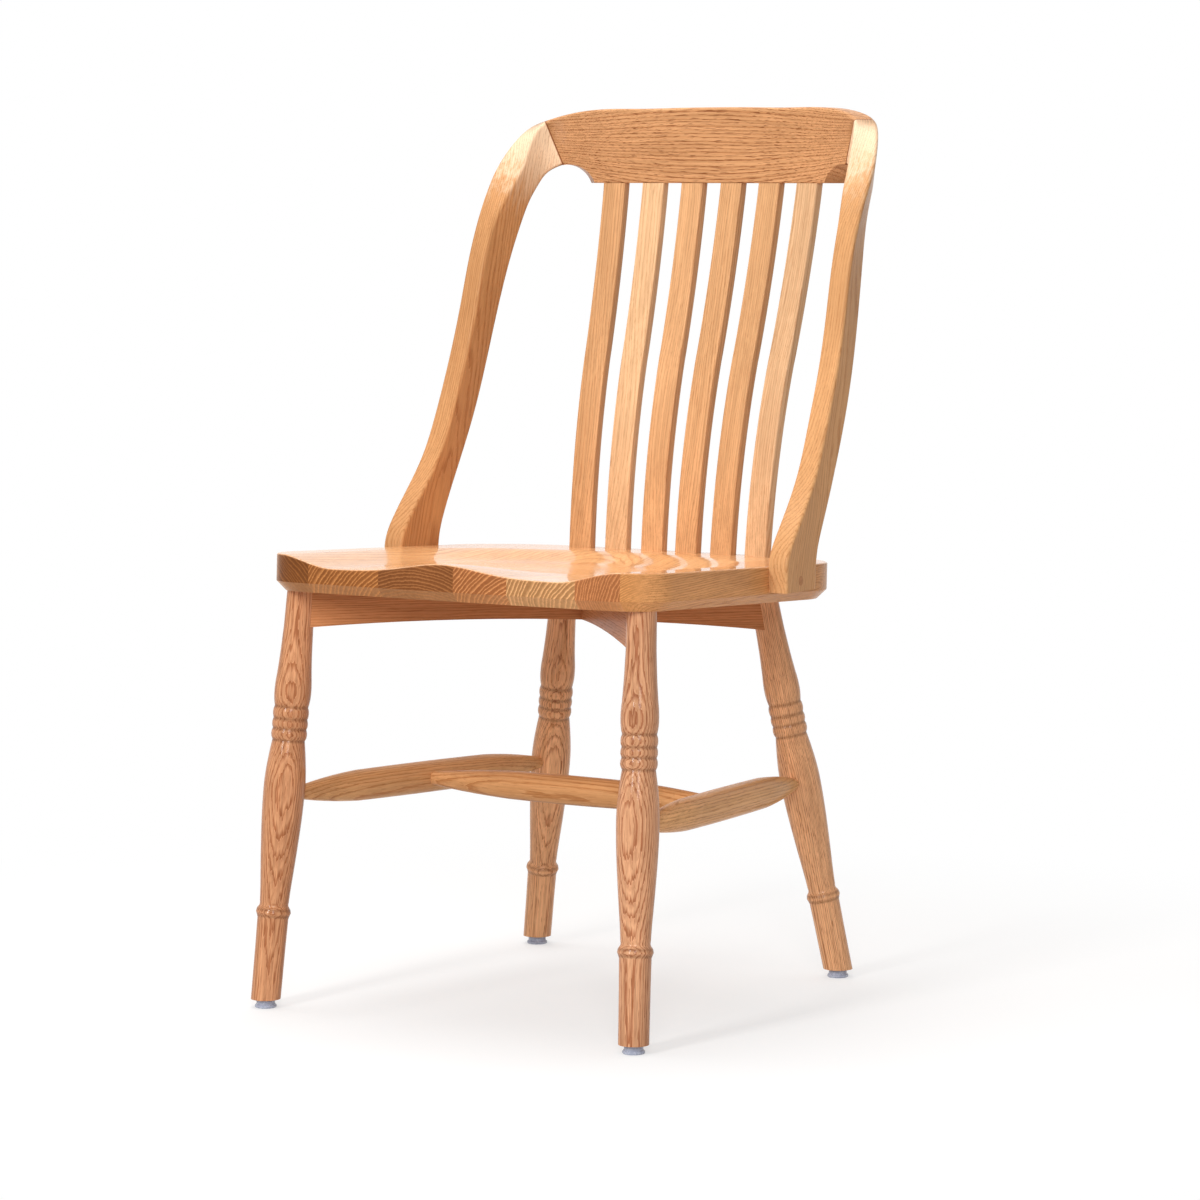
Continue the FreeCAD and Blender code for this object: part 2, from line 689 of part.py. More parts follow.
# pair, x at the seat, x under the crest, y at the seat, turn to the crest's curve
SLAT_PAIRS = (
    ("inner", 20.9, 24.1, 164.1, 0.9),
    ("middle", 64.4, 71.4, 162.4, 2.7),
    ("outer", 107.5, 118.6, 159.8, 4.5),
)
for pair, x_root, x_top, y_root, turn in SLAT_PAIRS:
    x_root = size("slat_%s_root_x" % pair, x_root)
    x_top = size("slat_%s_top_x" % pair, x_top)
    y_root = size("slat_%s_root_y" % pair, y_root)
    turn = size("slat_%s_turn" % pair, turn)
    body, board = sawn("slat_" + pair, "YZ_Plane", SLAT, "slat_width")
    sides = []
    for number, face in enumerate(board.Shape.Faces):
        if abs(abs(face.CenterOfMass.x) - slat_width / 2) < 0.01:
            sides.append("Face%d" % (number + 1))
    easing = body.newObject("PartDesign::Fillet", "slat_%s_easing" % pair)
    easing.Base = (board, sides)
    easing.setExpression("Radius", "Sizes.slat_edge_round")
    swing = slat_tip_back * math.sin(math.radians(turn))
    splay = math.degrees(math.atan2(x_top - x_root - swing, slat_tip_up))
    stance = FreeCAD.Rotation(V(0, 1, 0), splay).multiply(FreeCAD.Rotation(UP, -turn))
    body.Placement = FreeCAD.Placement(V(x_root, y_root, seat_height + slat_root_up), stance)
    tip_frame = FreeCAD.Placement(V(0, *tip), FreeCAD.Rotation(RIGHTWARDS, -slat_tip_lean))
    inset = (slat_thick - slat_tenon_thick) / 2
    tenon_corner = FreeCAD.Placement(V(-slat_tenon_width / 2, inset, -slat_tenon_length), FLAT)
    tenon = block("slat_%s_tenon" % pair, slat_tenon_width, slat_tenon_thick, 2 * slat_tenon_length,
                  body.Placement.multiply(tip_frame).multiply(tenon_corner))
    trimmed = cut("slat_%s_trimmed" % pair, body, above_slats)
    slat_blanks.append(trimmed)
    slat_tenons.append(tenon)
    finish_pair("slat_" + pair, fused("slat_%s_tenoned" % pair, [trimmed, tenon]))
slats_right = grouped("slats_right", slat_blanks)
slats_left = mirrored("slats_left", slats_right)
slat_tenons_right = grouped("slat_tenons_right", slat_tenons)
slat_tenons_left = mirrored("slat_tenons_left", slat_tenons_right)

# Back posts
# Each post is a band of even thickness that stands beside the seat, kinks back above it,
# leans back and then sweeps inwards, so that its narrow front edge becomes the top of the
# crest. A section is given by the inner ends of its front edge and of its rear edge.
# section, height above the seat, x and y of the front edge, x and y of the rear edge
STANDING = (
    ("foot", -26.6, 220.5, -13.0, 217.0, 52.5),
    ("instep", -3.6, 220.5, -13.0, 217.0, 54.5),
    ("ankle", 12.4, 220.5, -8.5, 217.0, 57.5),
    ("kink", 30.4, 220.3, 4.0, 216.9, 65.0),
    ("calf", 55.4, 219.3, 25.5, 216.6, 77.8),
    ("shin", 90.4, 217.1, 52.7, 215.3, 96.0),
    ("knee", 135.4, 215.3, 75.8, 213.4, 117.6),
    ("thigh", 190.4, 214.2, 98.8, 211.2, 138.5),
    ("waist", 250.4, 212.4, 118.6, 207.6, 157.2),
    ("chest", 305.4, 211.0, 134.6, 202.4, 175.3),
)
# section, then for the front edge and for the rear edge: x, y and height of its inner end,
# its turn towards the rear in degrees, and how far it is longer than the band is thick
SWEEPING = (
    ("armpit", (208.3, 152.0, 345.4, -0.5, 2.6), (198.5, 188.8, 338.4, 0.5, -0.3)),
    ("shoulder_low", (202.3, 171.2, 374.9, -4.5, 8.9), (195.8, 200.0, 361.4, 7.9, -0.9)),
    ("shoulder", (198.0, 188.8, 399.4, -5.2, 11.5), (193.0, 212.5, 378.4, 15.0, -2.3)),
    ("shoulder_high", (196.5, 200.0, 423.2, 12.4, 6.0), (188.3, 219.9, 389.9, 31.6, -2.6)),
    ("neck", (193.9, 210.0, 438.4, 30.3, 2.3), (181.2, 225.4, 396.2, 41.9, -0.9)),
    ("seam", (189.6, 218.4, 446.4, 50.2, 0.0), (173.9, 229.8, 399.7, 50.2, 0.0)),
)


def band_edge(label, x, y, up, turn, extra):
    """Inner and outer end of one edge of the band; every number of it has its own cell."""
    words = ("x", "y", "up", "turn", "extra")
    x, y, up, turn, extra = [
        size("%s_%s" % (label, word), number)
        for word, number in zip(words, (x, y, up, turn, extra))
    ]
    inner = V(x, y, seat_height + up)
    angle = math.radians(turn)
    return inner, inner + V(math.cos(angle), math.sin(angle), 0) * (band_thick + extra)


post_edges = []
for label, up, front_x, front_y, rear_x, rear_y in STANDING:
    post_edges.append((label, (front_x, front_y, up, 0, 0), (rear_x, rear_y, up, 0, 0)))
post_edges.extend(SWEEPING)
post_sections = []
for label, front, rear in post_edges:
    front_in, front_out = band_edge("post_%s_front" % label, *front)
    rear_in, rear_out = band_edge("post_%s_rear" % label, *rear)
    post_sections.append([front_in, front_out, rear_out, rear_in])


def loft_through(section_points):
    wires = [Part.makePolygon(points + points[:1]) for points in section_points]
    return Part.makeLoft(wires, True, False)


def lengthwise(body):
    """The edges that run the length of a lofted piece."""
    shortest = 10 * band_thick
    return [edge for edge in body.Edges if edge.Length > shortest]


post_loft = loft_through(post_sections)
post_blank = shaped("post_blank", post_loft.makeFillet(post_edge_round, lengthwise(post_loft)))
post_blank_image = mirrored("post_blank_image", post_blank)

# Crest
# The same band goes on from seam to seam, deeper than the posts.
seam_top, seam_top_rear, seam_low_rear, seam_low = post_sections[-1]
seam_slope = seam_low - seam_top
seam_across = seam_top_rear - seam_top
crest_low = seat_height + crest_low_up
seam_foot = seam_top + seam_slope * ((crest_low - seam_top.z) / seam_slope.z)
# section, x and y of the front face at the top, height above the seat, x and y at the bottom,
# turn of the face
CREST = (
    ("bend", 163.0, 235.5, 456.0, 150.0, 239.6, 24.0),
    ("outer", 131.0, 244.5, 459.8, 131.0, 243.9, 11.5),
    ("between", 90.0, 249.0, 459.9, 90.0, 247.6, 4.9),
    ("inner", 45.0, 251.8, 460.6, 45.0, 249.8, 2.0),
    ("middle", 0.0, 252.3, 460.9, 0.0, 250.1, 0.0),
)
crest_half = [[seam_top, seam_top_rear, seam_foot + seam_across, seam_foot]]
for label, x_top, y_top, up, x_low, y_low, turn in CREST:
    x_top = size("crest_%s_top_x" % label, x_top)
    y_top = size("crest_%s_top_y" % label, y_top)
    up = size("crest_%s_up" % label, up)
    x_low = size("crest_%s_low_x" % label, x_low)
    y_low = size("crest_%s_low_y" % label, y_low)
    turn = math.radians(size("crest_%s_turn" % label, turn))
    through = V(math.sin(turn), math.cos(turn), 0) * band_thick
    top = V(x_top, y_top, seat_height + up)
    low = V(x_low, y_low, crest_low)
    crest_half.append([top, top + through, low + through, low])
crest_sections = list(crest_half)
for points in reversed(crest_half[:-1]):
    crest_sections.append([V(-point.x, point.y, point.z) for point in points])
crest_loft = loft_through(crest_sections)
crest_mid_height = crest_low + 2 * band_thick
low_edges = [edge for edge in lengthwise(crest_loft) if edge.BoundBox.ZMax < crest_mid_height]
crest_softened = crest_loft.makeFillet(crest_low_round, low_edges)
high_edges = [edge for edge in lengthwise(crest_softened) if edge.BoundBox.ZMax > crest_mid_height]
crest_blank = shaped("crest_blank", crest_softened.makeFillet(crest_top_round, high_edges))

# Arch between post and crest
# On each side a round cutter, square to the band, leaves a pointed bracket at the crest's end.
arch_angle = math.radians(arch_turn)
arch_way = V(math.sin(arch_angle), math.cos(arch_angle), 0)
arch_reach = 3 * band_thick
arch_start = V(arch_x, arch_y, seat_height + arch_up) - arch_way * arch_reach
arch_right = rod("arch_right", "arch_radius", 2 * arch_reach, along(arch_start, arch_way))
arch_left = mirrored("arch_left", arch_right)

# Dowels across the seams between posts and crest
seam_middle = seam_top + seam_slope * 0.5 + seam_across * 0.5
seam_normal = seam_slope.cross(seam_across).normalize()
seam_down = V(seam_slope).normalize()
dowels = []
for place, side in (("upper", -1), ("lower", 1)):
    dowel_middle = seam_middle + seam_down * (side * dowel_spacing / 2)
    dowel_at = along(dowel_middle - seam_normal * (dowel_length / 2), seam_normal)
    dowels.append(rod("crest_dowel_" + place, "dowel_radius", dowel_length, dowel_at))
dowels_right = grouped("dowels_right", dowels)
dowels_left = mirrored("dowels_left", dowels_right)

# Screws through the feet of the posts
# Each screw goes from the outside of the post into the seat. Its head is sunk, and an oak
# plug, planed flush with the post, hides it.
screw_head_at = V(post_screw_seat_x, post_screw_y, seat_height + post_screw_up)
post_screw = countersunk("post_screw", post_screw_length, post_screw_radius, post_screw_head,
                         post_screw_head_tall, along(screw_head_at, -RIGHTWARDS))
post_screw_image = mirrored("post_screw_image", post_screw)
plug_bar = rod("plug_bar", "post_screw_head", band_thick, along(screw_head_at, RIGHTWARDS))
post_plug = overlap("post_plug", plug_bar, post_blank)
post_holes = fused("post_holes", [post_screw, plug_bar])
post_bored = cut("post_bored", post_blank, grouped("post_sockets", [dowels_right, post_holes]))
crest_sockets = grouped("crest_sockets", [
    arch_right, arch_left, dowels_right, dowels_left, slat_tenons_right, slat_tenons_left,
])
crest_bored = cut("crest_bored", crest_blank, crest_sockets)

# Seat staves
# The seat is glued up from seven staves that run from front to back. It is let out for the
# legs, posts and slats before it is divided, so that each joint is cut through all of them.
housings = grouped("seat_housings", [
    slats_right, slats_left, leg_tenons_right, leg_tenons_left, post_blank, post_blank_image,
])
screw_holes = grouped("seat_screw_holes", [
    post_screw, post_screw_image, rail_screw_pair, rail_screw_pair_image,
])
seat_housed = cut("seat_housed", seat_eased, housings)
seat_bored = cut("seat_bored", seat_housed, screw_holes)

# stave joint, x
STAVE_JOINTS = (
    ("first", -160),
    ("second", -74),
    ("third", 14.6),
    ("fourth", 76),
    ("fifth", 152.3),
    ("sixth", 198),
)
joint_places = [size("%s_joint_x" % joint, place) for joint, place in STAVE_JOINTS]
joint_places = [-BEYOND_ALL / 2] + joint_places + [BEYOND_ALL / 2]
for number, (left, right) in enumerate(zip(joint_places, joint_places[1:])):
    name = "seat_stave_%d" % (number + 1)
    slab = block(name + "_slab", right - left, BEYOND_ALL, 4 * seat_thick,
                 FreeCAD.Placement(V(left, -BEYOND_ALL / 2, seat_height - 2 * seat_thick), FLAT))
    finish(name, overlap(name + "_part", seat_bored, slab))

# The rest of the pieces by name
finish("cross_rail_front_left", cut("rail_bored", rail_halved, rail_screw_pair))
finish("cross_rail_front_right", cut("rail_image_bored", rail_image_halved, rail_screw_pair_image))
finish("rail_screws", grouped("rail_screws_all", [rail_screw_pair, rail_screw_pair_image]), 4)
for place in ("front", "rear"):
    finish_pair("leg_" + place, legs[place])
    finish_pair("glide_" + place, glides[place])
finish("glide_nails", grouped("nails_all", [nail_pair, mirrored("nail_pair_image", nail_pair)]), 4)
finish_pair("side_stretcher", side_bored)
finish("middle_stretcher", middle_turning)
finish_pair("back_post", post_bored)
finish("crest_rail", crest_bored)
finish("crest_dowels", grouped("dowels_all", [dowels_right, dowels_left]), 4)
finish("post_screws", grouped("post_screws_all", [post_screw, post_screw_image]), 2)
finish_pair("post_plug", post_plug)

# Every object must have been worked out, and every piece must be sound, before any is written
doc.recompute()
for feature in doc.Objects:
    if "Invalid" in feature.State or "Error" in feature.State:
        raise RuntimeError("%s could not be made: %s" % (feature.Name, feature.State))
for label, piece, solids in finished:
    if piece.Shape.isNull() or not piece.Shape.isValid():
        raise RuntimeError("%s has no sound shape" % label)
    if len(piece.Shape.Solids) != solids or piece.Shape.Volume <= 0 or piece.Label != label:
        raise RuntimeError("%s has %d solids, named %s" % (label, len(piece.Shape.Solids), piece.Label))
for label, piece, solids in finished:
    piece.Shape.exportStep("parts/%s.step" % label)
    print("%-24s %2d %12.0f mm3" % (label, solids, piece.Shape.Volume))
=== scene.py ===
import math

import bmesh
import bpy
from mathutils import Matrix, Vector


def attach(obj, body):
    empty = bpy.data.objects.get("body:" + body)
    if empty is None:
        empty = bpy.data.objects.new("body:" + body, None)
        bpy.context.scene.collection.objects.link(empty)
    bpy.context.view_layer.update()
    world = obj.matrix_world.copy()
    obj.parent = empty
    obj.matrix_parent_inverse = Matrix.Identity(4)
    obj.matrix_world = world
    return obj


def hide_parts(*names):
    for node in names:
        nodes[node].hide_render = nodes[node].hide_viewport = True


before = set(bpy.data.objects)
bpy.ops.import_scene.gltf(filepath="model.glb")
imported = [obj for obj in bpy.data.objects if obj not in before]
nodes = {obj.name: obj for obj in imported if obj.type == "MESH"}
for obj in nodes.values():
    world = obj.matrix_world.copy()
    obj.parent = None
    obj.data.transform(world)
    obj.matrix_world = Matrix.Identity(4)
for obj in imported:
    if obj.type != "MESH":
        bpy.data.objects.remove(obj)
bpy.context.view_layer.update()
scene = bpy.context.scene

# Camera
# It stands to the front right of the chair, a little above the seat, with a long lens. The
# lens is shifted, because the picture's middle lies a little off the lens's own axis.
FRAME_PIXELS = 1200
LENS_AXIS_X = 595.2
LENS_AXIS_Y = 566.4
camera_place = Vector((2.3157, -3.7116, 0.8163))
camera_aim = Vector((0.0, 0.018, 0.4365))
camera_roll = math.radians(0.17)
camera_data = bpy.data.cameras.new("camera")
camera_data.sensor_width = 36.0
camera_data.lens = 128.57
camera_data.shift_x = (FRAME_PIXELS / 2 - LENS_AXIS_X) / FRAME_PIXELS
camera_data.shift_y = (LENS_AXIS_Y - FRAME_PIXELS / 2) / FRAME_PIXELS
camera_data.clip_start = 0.1
camera_data.clip_end = 60.0
camera = bpy.data.objects.new("camera", camera_data)
scene.collection.objects.link(camera)
camera.location = camera_place
camera_turn = (camera_aim - camera_place).to_track_quat("-Z", "Y")
camera.rotation_euler = (camera_turn.to_matrix() @ Matrix.Rotation(camera_roll, 3, "Z")).to_euler()
scene.camera = camera


# Seat staves
# The seat is glued up from seven oak staves whose grain runs from front to back. They are
# plain-sawn from different boards, so each shows its own growth rings at the front edge, and
# the saddle cut into the glued blank lays their figure open. Satin-gloss lacquer covers all.
def colour(red, green, blue):
    """A colour picked on a screen, from 0 to 255, as the shader's linear colour."""
    linear = []
    for part in (red, green, blue):
        part = part / 255
        linear.append(part / 12.92 if part <= 0.04045 else ((part + 0.055) / 1.055) ** 2.4)
    return (*linear, 1.0)


def wire(tree, kind, settings=None, **inputs):
    """A node with its settings; in0, in1 are sockets by number, other words sockets by name,
    and each takes a plain value or another node's output."""
    node = tree.nodes.new(kind)
    for name, value in (settings or {}).items():
        setattr(node, name, value)
    for name, value in inputs.items():
        numbered = name[:2] == "in" and name[2:].isdigit()
        socket = node.inputs[int(name[2:])] if numbered else node.inputs[name.replace("_", " ")]
        if isinstance(value, bpy.types.NodeSocket):
            tree.links.new(value, socket)
        else:
            socket.default_value = value
    return node


def reckon(tree, operation, *values):
    """The result of one step of arithmetic between numbers or sockets."""
    sockets = {"in%d" % number: value for number, value in enumerate(values)}
    return wire(tree, "ShaderNodeMath", {"operation": operation}, **sockets).outputs[0]


def reckon_place(tree, operation, *values):
    """The same between places."""
    sockets = {"in%d" % number: value for number, value in enumerate(values)}
    return wire(tree, "ShaderNodeVectorMath", {"operation": operation}, **sockets).outputs[0]


def grains(tree, place, per_metre, detail=1.0, roughness=0.5):
    """Noise with so many grains to the metre along each axis."""
    spread = reckon_place(tree, "MULTIPLY", place, per_metre)
    return wire(tree, "ShaderNodeTexNoise", Vector=spread, Scale=1.0, Detail=detail, Roughness=roughness)


def shifted(tree, place, noise, reach):
    """The place moved by up to half of reach each way, by a noise's colours."""
    step = reckon_place(tree, "SUBTRACT", noise.outputs["Color"], (0.5, 0.5, 0.5))
    return reckon_place(tree, "ADD", place, reckon_place(tree, "MULTIPLY", step, reach))


def eased(tree, value, low, high, to_low=0.0, to_high=1.0):
    """A soft step from one level to another while the value goes from low to high."""
    step = wire(tree, "ShaderNodeMapRange", {"interpolation_type": "SMOOTHSTEP"}, Value=value,
                From_Min=low, From_Max=high, To_Min=to_low, To_Max=to_high)
    return step.outputs["Result"]


def blended(tree, amount, first, second, mode="MIX"):
    """One colour laid over another, by an amount from 0 to 1."""
    node = tree.nodes.new("ShaderNodeMix")
    node.data_type = "RGBA"
    node.blend_type = mode
    for name, value in (("Factor_Float", amount), ("A_Color", first), ("B_Color", second)):
        socket = next(given for given in node.inputs if given.identifier == name)
        if isinstance(value, bpy.types.NodeSocket):
            tree.links.new(value, socket)
        else:
            socket.default_value = value
    return next(given for given in node.outputs if given.identifier == "Result_Color")


def oak_figure():
    """Solid figure of oak about a heart that runs along Z. Each year opens with a row of wide
    pores and closes with denser wood; rays stand out from the heart; fibres run lengthwise."""
    group = bpy.data.node_groups.new("oak_figure", "ShaderNodeTree")
    group.interface.new_socket("Place", in_out="INPUT", socket_type="NodeSocketVector")
    for name in ("Ring Width", "Wander", "Pore Size"):
        group.interface.new_socket(name, in_out="INPUT", socket_type="NodeSocketFloat")
    for name in ("Early", "Late", "Pore", "Ray", "Fibre", "Streak", "Cloud"):
        group.interface.new_socket(name, in_out="OUTPUT", socket_type="NodeSocketFloat")
    given = group.nodes.new("NodeGroupInput")
    place = given.outputs["Place"]
    # The years wander as the tree grew, and their edges are ragged where fibres cross them
    slow = grains(group, place, (9.0, 9.0, 2.4), 2.0)
    slow_step = reckon_place(group, "SUBTRACT", slow.outputs["Color"], (0.5, 0.5, 0.5))
    slow_move = wire(group, "ShaderNodeVectorMath", {"operation": "SCALE"}, in0=slow_step,
                     Scale=given.outputs["Wander"]).outputs[0]
    moved = reckon_place(group, "ADD", place, slow_move)
    moved = shifted(group, moved, grains(group, place, (75.0, 75.0, 11.0), 2.0), (0.0036, 0.0036, 0.0))
    moved = shifted(group, moved, grains(group, place, (620.0, 620.0, 34.0), 1.0), (0.0013, 0.0013, 0.0))
    parts = wire(group, "ShaderNodeSeparateXYZ", Vector=moved)
    across, deep, along = parts.outputs
    radius = reckon(group, "SQRT", reckon(
        group, "ADD", reckon(group, "MULTIPLY", across, across), reckon(group, "MULTIPLY", deep, deep)))
    turn = reckon(group, "ARCTAN2", deep, across)
    # Wide and narrow years
    years = wire(group, "ShaderNodeTexNoise", {"noise_dimensions": "1D"}, W=radius, Scale=80.0, Detail=1.0)
    drift = reckon(group, "MULTIPLY", years.outputs[0], 1.6)
    ring = reckon(group, "ADD", reckon(group, "DIVIDE", radius, given.outputs["Ring Width"]), drift)
    year = reckon(group, "FRACT", ring)
    opening = reckon(group, "SUBTRACT", 1.0, eased(group, year, 0.05, 0.55))
    early = reckon(group, "MULTIPLY", opening, eased(group, year, 0.0, 0.05))
    late = reckon(group, "MULTIPLY", eased(group, year, 0.35, 0.95), eased(group, year, 1.0, 0.96))
    # Pores, long and thin, crowded into the early wood
    sized = wire(group, "ShaderNodeVectorMath", {"operation": "SCALE"}, in0=place,
                 Scale=given.outputs["Pore Size"]).outputs[0]
    coarse = grains(group, sized, (1500.0, 1500.0, 62.0), 1.0)
    crowded = reckon(group, "ADD", coarse.outputs[0], reckon(group, "MULTIPLY", early, 0.13))
    pore = eased(group, crowded, 0.60, 0.70)
    # Rays
    fan = wire(group, "ShaderNodeCombineXYZ", in0=reckon(group, "MULTIPLY", turn, 110.0),
               in1=reckon(group, "MULTIPLY", radius, 60.0), in2=reckon(group, "MULTIPLY", along, 130.0))
    fleck = wire(group, "ShaderNodeTexNoise", Vector=fan.outputs[0], Scale=1.0, Detail=1.0)
    ray = eased(group, fleck.outputs[0], 0.60, 0.72)
    fibre = grains(group, place, (2300.0, 2300.0, 70.0), 2.0, 0.6)
    streak = grains(group, place, (310.0, 310.0, 7.0), 2.0, 0.6)
    cloud = grains(group, place, (17.0, 17.0, 4.0), 3.0, 0.55)
    result = group.nodes.new("NodeGroupOutput")
    for name, socket in (("Early", early), ("Late", late), ("Pore", pore), ("Ray", ray),
                         ("Fibre", fibre.outputs[0]), ("Streak", streak.outputs[0]),
                         ("Cloud", cloud.outputs[0])):
        group.links.new(socket, result.inputs[name])
    return group


oak_wood = oak_figure()
# A noise lies mostly between these two levels
NOISE_LOW = 0.3
NOISE_HIGH = 0.7
# The wood's own sheen is faint, and the lacquer on it is smooth
WOOD_IOR = 1.12
LACQUER_ROUGHNESS = 0.09
SIDE_POLISH = 0.04
RELIEF_DEPTH = 0.0002
RELIEF_STRENGTH = 0.22
GROOVE_SHADE = 0.66
JOINT_LINE = 0.0004
JOINT_FADE = 0.0011


def oak(name, grain, heart, light, dark, pore_tone, ring_width=0.0028, wander=0.008, pore_size=1.0,
        pores=0.5, rays=0.3, streaks=0.08, end_light=(0.60, 0.50, 0.42, 1.0),
        end_dark=(0.36, 0.28, 0.23, 1.0), gloss=0.28, polish=SIDE_POLISH, pinch=None, stained=None,
        joint=None, sapwood_and_highlight=None, polished_top=False):
    """Lacquered oak for one piece. Its grain runs along a direction, about a heart at a place.
    A pinch draws the grain together towards both ends about a height. Groove shade attribute names
    the piece's own value for how much painted shade darkens its grooves, and a joint is a place and
    a direction of a glued joint on either side, which shows as a fine dark line. Sapwood and
    highlight is a place, how far round it the wood is painted paler, partly as paler sapwood and
    partly as a painted highlight, and the paler colour. A polished top has the full polish only on
    what faces upwards."""
    material = bpy.data.materials.new(name)
    material.use_nodes = True
    tree = material.node_tree
    tree.nodes.clear()
    coordinates = tree.nodes.new("ShaderNodeTexCoord")
    place = coordinates.outputs["Object"]
    if pinch:
        sideways = wire(tree, "ShaderNodeSeparateXYZ", Vector=place).outputs[0]
        closer = reckon(tree, "MULTIPLY_ADD", reckon(tree, "MULTIPLY", sideways, sideways), pinch[1], 1.0)
        about = reckon_place(tree, "SUBTRACT", place, (0.0, 0.0, pinch[0]))
        drawn = wire(tree, "ShaderNodeCombineXYZ", in0=1.0, in1=1.0, in2=closer).outputs[0]
        place = reckon_place(tree, "MULTIPLY", about, drawn)
    mapping = wire(tree, "ShaderNodeMapping", {"vector_type": "TEXTURE"}, Vector=place, Location=heart,
                   Rotation=Vector(grain).to_track_quat("Z", "Y").to_euler())
    wood = wire(tree, "ShaderNodeGroup", {"node_tree": oak_wood}, Place=mapping.outputs[0],
                Ring_Width=ring_width, Wander=wander, Pore_Size=pore_size)
    ring_shade = reckon(tree, "ADD", reckon(tree, "MULTIPLY", wood.outputs["Early"], 0.85),
                        reckon(tree, "MULTIPLY", wood.outputs["Late"], 0.30))
    # Paler sapwood and a painted highlight about a place, the same on either side
    if sapwood_and_highlight:
        either_side = reckon_place(tree, "ABSOLUTE", coordinates.outputs["Object"])
        away = wire(tree, "ShaderNodeVectorMath", {"operation": "DISTANCE"}, in0=either_side,
                    in1=sapwood_and_highlight[0])
        ragged = reckon(tree, "ADD", away.outputs["Value"],
                        eased(tree, wood.outputs["Streak"], NOISE_LOW, NOISE_HIGH, -0.02, 0.02))
        paler = eased(tree, ragged, sapwood_and_highlight[1], sapwood_and_highlight[1] * 0.2)
        light = blended(tree, paler, light, sapwood_and_highlight[2])
        dark = blended(tree, reckon(tree, "MULTIPLY", paler, 0.7), dark, sapwood_and_highlight[2])
    tone = blended(tree, ring_shade, light, dark)
    tone = blended(tree, reckon(tree, "MULTIPLY", wood.outputs["Ray"], rays), tone, light)
    tone = blended(tree, reckon(tree, "MULTIPLY", wood.outputs["Pore"], pores), tone, pore_tone)
    shade = eased(tree, wood.outputs["Cloud"], NOISE_LOW, NOISE_HIGH, 0.92, 1.06)
    streaky = eased(tree, wood.outputs["Streak"], NOISE_LOW, NOISE_HIGH, 1.0 - streaks, 1.0 + streaks)
    fine = eased(tree, wood.outputs["Fibre"], NOISE_LOW, NOISE_HIGH, 0.95, 1.04)
    lit = reckon(tree, "MULTIPLY", reckon(tree, "MULTIPLY", shade, streaky), fine)
    # Painted shade darkens the grooves between the beads, read from the piece's attribute
    if stained:
        groove_shade_read = tree.nodes.new("ShaderNodeAttribute")
        groove_shade_read.attribute_name = stained
        groove = eased(tree, groove_shade_read.outputs["Fac"], 0.0, 1.0, 1.0, GROOVE_SHADE)
        lit = reckon(tree, "MULTIPLY", lit, groove)
    tinted = wire(tree, "ShaderNodeCombineXYZ", in0=lit, in1=reckon(tree, "POWER", lit, 1.12),
                  in2=reckon(tree, "POWER", lit, 1.25))
    tone = blended(tree, 1.0, tone, tinted.outputs[0], "MULTIPLY")
    facing = wire(tree, "ShaderNodeVectorMath", {"operation": "DOT_PRODUCT"},
                  in0=coordinates.outputs["Normal"], in1=Vector(grain).normalized())
    end_grain = eased(tree, reckon(tree, "ABSOLUTE", facing.outputs["Value"]), 0.45, 0.9)
    ring_edge = reckon(tree, "SUBTRACT", 1.0, wood.outputs["Early"])
    open_tone = blended(tree, 1.0, light, blended(tree, ring_edge, end_light, end_dark), "MULTIPLY")
    open_tone = blended(tree, 1.0, open_tone, tinted.outputs[0], "MULTIPLY")
    tone = blended(tree, end_grain, tone, open_tone)
    if joint:
        either_side = reckon_place(tree, "ABSOLUTE", coordinates.outputs["Object"])
        from_joint = reckon_place(tree, "SUBTRACT", either_side, joint[0])
        off = wire(tree, "ShaderNodeVectorMath", {"operation": "DOT_PRODUCT"}, in0=from_joint, in1=joint[1])
        line = eased(tree, reckon(tree, "ABSOLUTE", off.outputs["Value"]), JOINT_FADE, JOINT_LINE)
        tone = blended(tree, reckon(tree, "MULTIPLY", line, 0.9), tone, pore_tone)
    height = reckon(tree, "SUBTRACT", reckon(tree, "MULTIPLY", wood.outputs["Fibre"], 0.25),
                    reckon(tree, "MULTIPLY", wood.outputs["Pore"], 0.8))
    bump = wire(tree, "ShaderNodeBump", Strength=RELIEF_STRENGTH, Distance=RELIEF_DEPTH, Height=height)
    rough = reckon(tree, "ADD", reckon(tree, "MULTIPLY", wood.outputs["Pore"], 0.16),
                   eased(tree, wood.outputs["Cloud"], NOISE_LOW, NOISE_HIGH, gloss - 0.03, gloss + 0.05))
    surface = wire(tree, "ShaderNodeBsdfPrincipled", Base_Color=tone, Normal=bump.outputs[0],
                   Roughness=rough, IOR=WOOD_IOR, Coat_Weight=polish, Coat_Roughness=LACQUER_ROUGHNESS)
    if polished_top:
        upwards = wire(tree, "ShaderNodeSeparateXYZ", Vector=coordinates.outputs["Normal"]).outputs[2]
        coat = eased(tree, upwards, 0.2, 0.9, SIDE_POLISH, polish)
        tree.links.new(coat, surface.inputs["Coat Weight"])
    output = tree.nodes.new("ShaderNodeOutputMaterial")
    tree.links.new(surface.outputs[0], output.inputs["Surface"])
    return material


def dress(piece, material):
    """The piece takes one material all over."""
    piece.data.materials.clear()
    piece.data.materials.append(material)


seat_pores = colour(150, 88, 48)
